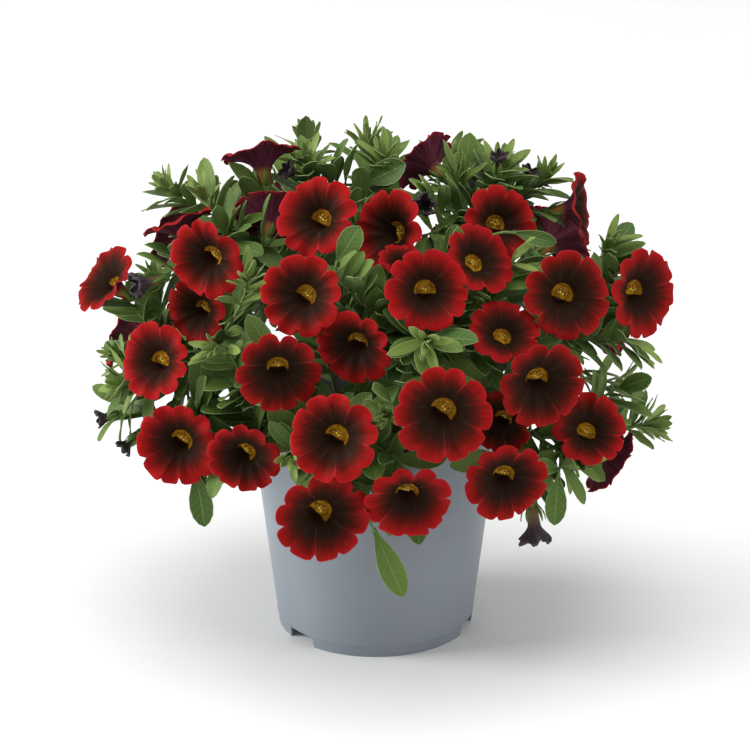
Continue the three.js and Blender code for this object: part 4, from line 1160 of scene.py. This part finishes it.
# %% [markdown]
# ## Flowers
#
# A flower is one funnel of five fused petals. The tube widens slowly, then the limb flares out nearly
# flat. Where two petals meet there is a cleft in the rim and a shallow groove, and each petal has a
# small notch in its middle. The rim waves, and each flower is warped a little in its own way. A tube
# blank of eighty sides carries all this: its height runs along the profile, its angle round the rim.

# %% The rim of a flower
LOBES = 5
LOBE = tau / LOBES
CLEFT_DEPTH, CLEFT_WIDTH, GROOVE_DEPTH, GROOVE_WIDTH = 0.19, 0.055, 0.5, 0.05
NOTCH_DEPTH, NOTCH_CHANGE, NOTCH_WIDTH = 0.11, 0.7, 0.045
RIM_WAVE = (0.1, 0.7, 0.9)  # in millimetres: all round, once in a petal and twice


def rim_form(angle, lobes):
    """The rim at an angle: reach as a share, height in millimetres, and how near the cleft is."""
    share = (angle % LOBE) / LOBE
    cleft = min(share, 1 - share)
    own = lobes[int(angle % tau / LOBE) % LOBES]
    notch = (NOTCH_DEPTH + NOTCH_CHANGE * own) * exp(-abs(0.5 - share) / NOTCH_WIDTH)
    reach = 1 - CLEFT_DEPTH * exp(-cleft / CLEFT_WIDTH) - notch + own * sin(share * pi)
    wave = sum(size * cos(2 * pi * count * share) for count, size in enumerate(RIM_WAVE))
    return reach, wave, cleft


print("the rim reaches", round(rim_form(0, [0] * LOBES)[0], 2), "of its radius in a cleft")

# %% The form of a trumpet
TRUMPET_PROFILE = (  # radius and height
    (1.9, 0), (2.3, 2.6), (2.9, 5.2), (3.7, 7.8), (4.8, 10.1), (6.4, 12.1), (8.6, 13.8),
    (11.2, 15.2), (13.8, 16.2), (16.1, 16.8), (17.9, 17.0), (19.1, 16.9), (19.6, 16.6),
)
LIMB_START, PLEAT = 0.2, 0.5
SWING = 0.09  # how unequal the petals' widths are, in radians


def trumpet(flower, lobes, warp):
    """Where a trumpet's vertices go. Lobes and warp are what differs from flower to flower."""

    def waves(parts, angle):
        return [size * sin(count * angle + phase) for count, size, phase in parts]

    def place(x, y, z):
        radius, level = row_at(TRUMPET_PROFILE, z)
        angle = atan2(x, y)
        out = radius / RIM_RADIUS
        reach, wave, cleft = rim_form(angle, lobes)
        limb = min(1, max(0, (out - LIMB_START) / LIMB_START))
        groove = GROOVE_DEPTH * exp(-cleft / GROOVE_WIDTH) * limb
        pleat = PLEAT * cos(2 * LOBES * angle) * limb * (1 - out)
        lift = wave * out**3 - groove + pleat + sum(part * out**2 for part in waves(warp, angle))
        span = radius * (1 - (1 - reach) * out**2.5)
        swung = angle + SWING * sum(waves(warp[1:3], angle)) * limb
        return around(flower, swung, span * flower.size, (level + lift) * flower.size)

    return place


def disc_mark(radius_at, own):
    """A vertex's place on a disc of radius 1, and the flower's own number."""
    return lambda x, y, z: (radius_at(z) * x, radius_at(z) * y, own)


def trumpet_reach(z):
    return row_at(TRUMPET_PROFILE, z)[0] / RIM_RADIUS


print("a trumpet is", 2 * RIM_RADIUS, "mm across at size 1")

# %% The throat: the bend of the tube, anthers and stigma
PALATE_RADIUS, PALATE_LEVEL, PALATE_DOME, PALATE_TILT, PALATE_REACH = 3.9, 7.4, 0.9, 1.3, 0.2
ANTHERS, ANTHER_ARC, ANTHER_RING, ANTHER_LEVEL, ANTHER_RADIUS = 4, radians(65), 2.3, 8.9, 0.75
STIGMA_SPOTS, STIGMA_LEVEL, STIGMA_RADIUS = ((-0.5, 0.5), (0.9, 0.9)), 9.4, 0.5


def bead(bm, spot, radius, material):
    made = bmesh.ops.create_icosphere(bm, subdivisions=1, radius=radius, matrix=Matrix.Translation(spot))
    for face in (face for vertex in made["verts"] for face in vertex.link_faces):
        face.material_index = material


def draw_throat(bm, bloom, own):
    """A low slanting dome that closes the view into the tube, its near half in painted shade as in the
    throat, four anthers, and two bright beads whose yellow-green is partly their own colour and partly a
    painted glint.
    """
    size = bloom.size

    def palate(x, y, z):
        level = PALATE_LEVEL + PALATE_DOME * (1 - x * x - y * y) + PALATE_TILT * y
        spot = bloom.side * (PALATE_RADIUS * x) - bloom.lift * (PALATE_RADIUS * y) + bloom.axis * level
        return bloom.base + spot * size

    stamp(bm, palate_blank, palate, disc_mark(lambda z: PALATE_REACH, own))
    for k in range(ANTHERS):
        angle = between((-ANTHER_ARC, ANTHER_ARC), k / (ANTHERS - 1))
        bead(bm, around(bloom, angle, ANTHER_RING * size, ANTHER_LEVEL * size), ANTHER_RADIUS * size, 2)
    for x, y in STIGMA_SPOTS:
        spot = bloom.side * x - bloom.lift * y + bloom.axis * STIGMA_LEVEL
        bead(bm, bloom.base + spot * size, STIGMA_RADIUS * size, 3)


print("the throat is closed", PALATE_LEVEL, "mm up the tube")

# %% Make the flower pieces
PETAL_SEED, PETAL_THICKNESS, LOBE_CHANGE = 5, 0.35, (-0.05, 0.04)
WARPS = ((1, 0.7), (2, 0.9), (3, 0.6), (5, 0.4), (7, 0.4), (11, 0.22))  # waves round the rim, and height
LEAST_WARP = 0.2
LIMP = 1.0  # how much more than a firm flower the limpest one is warped

chance = random.Random(PETAL_SEED)
for number, flower in enumerate(blooms, 1):
    bm = new_piece()
    for bloom in [flower] + [other for other, row in zip(pressed, PRESSED_BLOOMS) if row[0] == number]:
        warp = [(n, chance.uniform(LEAST_WARP, 1) * size, chance.uniform(0, tau)) for n, size in WARPS]
        lobes = [chance.uniform(*LOBE_CHANGE) for _ in range(LOBES)]
        own = chance.random()
        warp = [(n, size * (1 + LIMP * own * own), phase) for n, size, phase in warp]
        stamp(bm, trumpet_blank, trumpet(bloom, lobes, warp), disc_mark(trumpet_reach, own))
        draw_throat(bm, bloom, own)
    finished(bm, f"flower_{number:02d}", [f"bloom_{number:02d}"], petal_skins, PETAL_THICKNESS)
print(len(blooms), "flower pieces")

# %% [markdown]
# ## Withered flowers
#
# A spent flower dries to a crumpled dark funnel with a narrow waist. It keeps its tube, which turns
# yellow-brown, and its five petals curl up to dry points. The same tube blank is used with a narrow
# profile, a ragged mouth and deep folds. A spent bud is a small one on a shoot.

# %% The dry skin
WILTED_BROWN, WILTED_DARK, WILTED_LIGHT = (0.17, 0.10, 0.035), (0.017, 0.009, 0.012), (0.058, 0.034, 0.044)

graph = Graph("withered_skin", roughness=0.75)
_, _, height = graph.marks()
folds = graph.noise(graph.here(), 420, 4, 0.6)
colour = graph.fade(folds, 0.35, 0.7, WILTED_DARK, WILTED_LIGHT)
colour = graph.fade(height + (folds - 0.5) * 0.4, 0.1, 0.45, WILTED_BROWN, colour)
withered_skin = graph.skin(colour, folds, 0.8, 0.0008)
print("the dry material:", withered_skin.name)

# %% Make the withered flowers
WILTED_PROFILE = (  # radius and height
    (1.9, 0), (2.0, 1.8), (2.1, 3.6), (2.3, 5.4), (2.4, 7.2), (2.6, 9.0), (3.2, 10.3),
    (4.1, 11.6), (5.0, 12.8), (5.8, 13.9), (6.4, 14.8), (6.2, 15.2), (5.2, 14.6),
)
RAGGED, RAG_TURN, RAG_SIDES = 0.22, 2.6, 7
POINT_HEIGHT, POINT_REACH = 1.7, 0.16  # of the five dry points, the second as a share of the radius
FOLDS, FOLD_DEPTH, CRUMPLES, CRUMPLE_DEPTH, CRUMPLE_TWIST, SHRINK = 9, 0.17, 17, 0.1, 3, 0.08


def ragged(angle):
    """How far the mouth reaches at an angle, as the solid one does at its seven corners."""
    side = angle % tau / tau * RAG_SIDES
    corners = (sin((int(side) + k) % RAG_SIDES * RAG_TURN) for k in (0, 1))
    return 1 + RAGGED * between(corners, side % 1)


def wilted(flower, phase):
    def place(x, y, z):
        radius, level = row_at(WILTED_PROFILE, z)
        angle = atan2(x, y)
        fold = FOLD_DEPTH * sin(FOLDS * angle + phase)
        fold += CRUMPLE_DEPTH * sin(CRUMPLES * angle + CRUMPLE_TWIST * z + phase)
        point = cos(LOBES * angle + phase) * z**4
        reach = between((1, ragged(angle)), z) * (1 + fold * min(1, z * 1.5) + POINT_REACH * point) - SHRINK
        level += POINT_HEIGHT * point
        return around(flower, angle, radius * reach * flower.size, level * flower.size)

    return place


spent = []  # flower, piece, node, phase of its folds and thickness
for i, flower in enumerate(withered, 1):
    spent.append((flower, f"withered_flower_{i:02d}", f"withered_{i:02d}", i, 0.4))
for i, (bud, twig) in enumerate(zip(buds, twigs[first_bud:]), 1):
    spent.append((bud, f"spent_bud_{i:02d}", NODE_OF_STEM[twig.stem], 2 * i, 0.3))
for flower, name, node, phase, thickness in spent:
    bm = new_piece()
    stamp(bm, wilted_blank, wilted(flower, phase), lambda x, y, z: (x, y, z))
    finished(bm, name, [node], [withered_skin, withered_skin], thickness)
print(len(withered), "withered flowers and", len(buds), "spent buds")

# %% [markdown]
# ## Pot
#
# The pot is thin moulded plastic, blue-grey with a satin sheen. It tapers to its foot and has a wider
# band at the mouth. Such a pot is round, so its wall is one profile spun about the axis. Three low
# notches in the foot and six holes in the floor let water out. They are cut with Boolean modifiers,
# as they are simple shapes, and a small Bevel takes the sharpness off every edge.

# %% The pot's material
POT_GREY, POT_DARK = (0.205, 0.232, 0.263), (0.186, 0.212, 0.243)

graph = Graph("pot_plastic", roughness=0.42, specular_ior_level=0.45)
place = graph.here()
grain, cloud = graph.noise(place, 1400, 2), graph.noise(place, 22, 3)
colour, sheen = graph.fade(cloud, 0.3, 0.7, POT_DARK, POT_GREY), graph.step(cloud, 0.2, 0.8) * 0.12 + 0.36
pot_plastic = graph.skin(colour, grain + cloud, 0.12, 0.0002, Roughness=sheen)
print("the pot's material:", pot_plastic.name)

# %% The wall, spun from its profile
WALL_FOOT, WALL_FLARE = 47.4, 0.1208  # outer radius at the ground, and how much it grows with height
WALL_ROWS = (  # how far outside the wall, the height that the wall is taken at, and the row's own height
    (-1.5, 5.5, 5.5), (-1.5, 0, 0), (0, 0, 0), (0, 5.4, 5.4), (0.2, 5.8, 5.7), (0.2, 6.4, 6.3), (0, 6.7, 6.7),
    (0, 94, 94), (1.2, 94, 94.8), (1.2, 106, 105.2), (0.4, 106, 106), (-0.3, 106, 106), (-0.3, 94, 95.5),
    (-1.5, 94, 94), (-1.5, 7.3, 7.3),
)
POT_FLOOR = (5.5, 7.3)  # its underside and its top
POT_STEPS = 128


def spun(profile, steps):
    """A profile of radius and height turned about the upright axis, closed at its poles."""
    bm = bmesh.new()
    points = [bm.verts.new((radius, 0, height)) for radius, height in profile]
    edges = [bm.edges.new(pair) for pair in zip(points, points[1:])]
    bmesh.ops.spin(
        bm, geom=points + edges, cent=(0, 0, 0), axis=(0, 0, 1), angle=tau, steps=steps,
        use_merge=True,
    )
    bmesh.ops.remove_doubles(bm, verts=bm.verts, dist=0.001)
    bmesh.ops.recalc_face_normals(bm, faces=bm.faces)
    return bm


pot_profile = [(WALL_FOOT + WALL_FLARE * at + out, height) for out, at, height in WALL_ROWS]
pot_profile = [(0, POT_FLOOR[0]), *pot_profile, (0, POT_FLOOR[1])]
print("the pot's mouth is", round(2 * max(pot_profile)[0], 1), "mm across")

# %% Notches and drain holes
NOTCH_AZIMUTHS, FOOT_NOTCH_WIDTH, FOOT_NOTCH_TOP = (-49, 71, 191), (18.8, 16.4), 5.5  # below and above
NOTCH_NEAR, NOTCH_FAR, NOTCH_BOTTOM = -36, -50, -20
DRAINS, DRAIN_RING, DRAIN_RADIUS, DRAIN_DEPTH = 6, 27, 4, 5
DRAIN_LEVEL = sum(POT_FLOOR) / 2


def cutters():
    """The notches and the drain holes as one set of closed blocks."""
    bm = bmesh.new()
    for azimuth in NOTCH_AZIMUTHS:
        block = bmesh.ops.create_cube(bm, size=1)["verts"]
        for vertex in block:
            top = vertex.co.z > 0
            vertex.co.x *= FOOT_NOTCH_WIDTH[top]
            vertex.co.y = NOTCH_NEAR if vertex.co.y > 0 else NOTCH_FAR
            vertex.co.z = FOOT_NOTCH_TOP if top else NOTCH_BOTTOM
        turn = Matrix.Rotation(radians(azimuth), 3, "Z")
        bmesh.ops.rotate(bm, verts=block, cent=(0, 0, 0), matrix=turn)
    for k in range(DRAINS):
        place = Matrix.Rotation(tau * k / DRAINS, 4, "Z")
        place @= Matrix.Translation((DRAIN_RING, 0, DRAIN_LEVEL))
        bmesh.ops.create_cone(
            bm, cap_ends=True, segments=24, radius1=DRAIN_RADIUS, radius2=DRAIN_RADIUS, depth=DRAIN_DEPTH,
            matrix=place,
        )
    bmesh.ops.recalc_face_normals(bm, faces=bm.faces)
    return bm


def with_cuts(solid, cuts):
    """The first bmesh with the second cut out of it, as a new bmesh."""
    pair = [new_object("solid", kept_mesh(solid, "solid")), new_object("cuts", kept_mesh(cuts, "cuts"))]
    cut = pair[0].modifiers.new("cut", "BOOLEAN")
    cut.solver = "EXACT"
    cut.object = pair[1]
    done = pair[0].evaluated_get(bpy.context.evaluated_depsgraph_get()).to_mesh()
    bm = bmesh.new()
    bm.from_mesh(done)
    for part in pair:
        bpy.data.objects.remove(part)
    return bm


print(len(NOTCH_AZIMUTHS), "notches and", DRAINS, "holes")

# %% Make the pot
SHARP = radians(30)
ROUNDING = 0.35

pot = finished(with_cuts(spun(pot_profile, POT_STEPS), cutters()), "pot_shell", ["pot"], [pot_plastic])
pot.data.set_sharp_from_angle(angle=SHARP)
rounding = pot.modifiers.new("rounding", "BEVEL")
rounding.width = ROUNDING * MM
rounding.segments = 2
rounding.limit_method = "ANGLE"
rounding.angle_limit = SHARP
rounding.harden_normals = True
print("pot", len(pot.data.polygons), "faces")

# %% [markdown]
# ## Peat
#
# The pot is filled with dark brown peat, a loose crumbly mix. A spun body gives its mass, noise lifts
# its top unevenly, and a few hundred small crumbs lie on it.

# %% The peat's material
PEAT_DARK, PEAT_BROWN, PEAT_FIBRE = (0.012, 0.0075, 0.0045), (0.05, 0.03, 0.017), (0.14, 0.085, 0.045)

graph = Graph("peat", roughness=0.95)
place = graph.here()
crumb, fibre = graph.noise(place, 320, 5, 0.7), graph.noise(place, 900, 3)
colour = graph.fade(crumb, 0.35, 0.65, PEAT_DARK, PEAT_BROWN)
colour = graph.mix(graph.step(fibre, 0.62, 0.75) * 0.7, colour, PEAT_FIBRE)
peat_skin = graph.skin(colour, crumb, 1.0, 0.0015)
print("the peat's material:", peat_skin.name)

# %% Make the peat
PEAT_FOOT, PEAT_FLOOR, PEAT_RISE, PEAT_TOP, PEAT_EDGE, PEAT_CROWN = 46.4, 7.6, 85, 93, 57, 3
PEAT_SIDE_ROWS, PEAT_TOP_ROWS, PEAT_STEPS = 6, 16, 64
UNEVEN, UNEVEN_SCALE = 1.6, 0.12
CRUMBS, CRUMB_SIZE, CRUMB_SEED, CRUMB_RING = 420, (0.6, 2.0), 17, 55
CRUMB_LEVEL, CRUMB_SLOPE, CRUMB_FLAT = 96.2, 0.1, 28  # they lie lower outside the flat middle

peat_profile = [(0, PEAT_FLOOR), (PEAT_FOOT, PEAT_FLOOR)]
for k in range(1, PEAT_SIDE_ROWS + 1):
    rise = PEAT_RISE * k / PEAT_SIDE_ROWS
    peat_profile.append((PEAT_FOOT + WALL_FLARE * rise, PEAT_FLOOR + rise))
for k in range(1, PEAT_TOP_ROWS + 1):
    inward = k / PEAT_TOP_ROWS
    peat_profile.append((PEAT_EDGE * (1 - inward), PEAT_TOP + PEAT_CROWN * min(1, 2 * inward)))
bm = spun(peat_profile, PEAT_STEPS)
for vertex in bm.verts:
    if vertex.co.z > PEAT_TOP + 0.1:
        vertex.co.z += UNEVEN * noise.fractal(vertex.co * UNEVEN_SCALE, 0.6, 2.0, 4)
chance = random.Random(CRUMB_SEED)
for _ in range(CRUMBS):
    radius, angle = CRUMB_RING * sqrt(chance.random()), chance.uniform(0, tau)
    level = CRUMB_LEVEL - max(0, radius - CRUMB_FLAT) * CRUMB_SLOPE
    place = Matrix.Translation((radius * cos(angle), radius * sin(angle), level))
    place @= Matrix.Rotation(chance.uniform(0, 3), 4, Vector((chance.random(), 1, chance.random())))
    place @= Matrix.Diagonal((1, chance.uniform(0.5, 1), chance.uniform(0.4, 0.9), 1))
    size = between(CRUMB_SIZE, chance.random() ** 2)
    bmesh.ops.create_icosphere(bm, subdivisions=1, radius=size, matrix=place)
peat = finished(bm, "peat_body", ["soil"], [peat_skin])
print("peat", len(peat.data.polygons), "faces")

# %% [markdown]
# ## Floor and light
#
# A pale floor and large soft lights keep the shadows open, as on a plain studio table. The main
# light comes from the left, and a wide one from above. A weaker one on the right keeps that side from
# going dark. The light from all round is what shows in the gaps of the plant.

# %% Floor
FLOOR_SIZE = 8

graph = Graph("pale_floor", roughness=0.8)
floor_skin = graph.skin(graph.mix(graph.noise(graph.here(), 6), (0.86, 0.86, 0.86), (0.89, 0.89, 0.89)))
bm = bmesh.new()
bmesh.ops.create_grid(bm, x_segments=8, y_segments=8, size=FLOOR_SIZE)
floor = new_object("floor", kept_mesh(bm, "floor"))
floor.data.materials.append(floor_skin)
print("a floor", 2 * FLOOR_SIZE, "m wide")

# %% Lights
WORLD = 0.5
LIGHTS = (  # name, place in metres, size, power
    ("side", (-3.4, -0.2, 1.25), 1.77, 124),
    ("fill", (2.2, -0.8, 0.9), 1.2, 16),
    ("top", (-0.1, -0.3, 2.9), 2.4, 54),
)

world = bpy.data.worlds.new("studio")
world.use_nodes = True
background = next(node for node in world.node_tree.nodes if node.type == "BACKGROUND")
background.inputs["Color"].default_value = (1, 1, 1, 1)
background.inputs["Strength"].default_value = WORLD
bpy.context.scene.world = world
for name, spot, size, power in LIGHTS:
    light = new_object(name, bpy.data.lights.new(name, "AREA"), spot, CAMERA_AIM - Vector(spot))
    light.data.size, light.data.energy = size, power
bpy.context.scene.view_settings.view_transform = "Standard"
print(len(LIGHTS), "lights")

# %% Update the scene and show the solid model's box
bpy.context.view_layer.update()
print("solid box", cad_box)
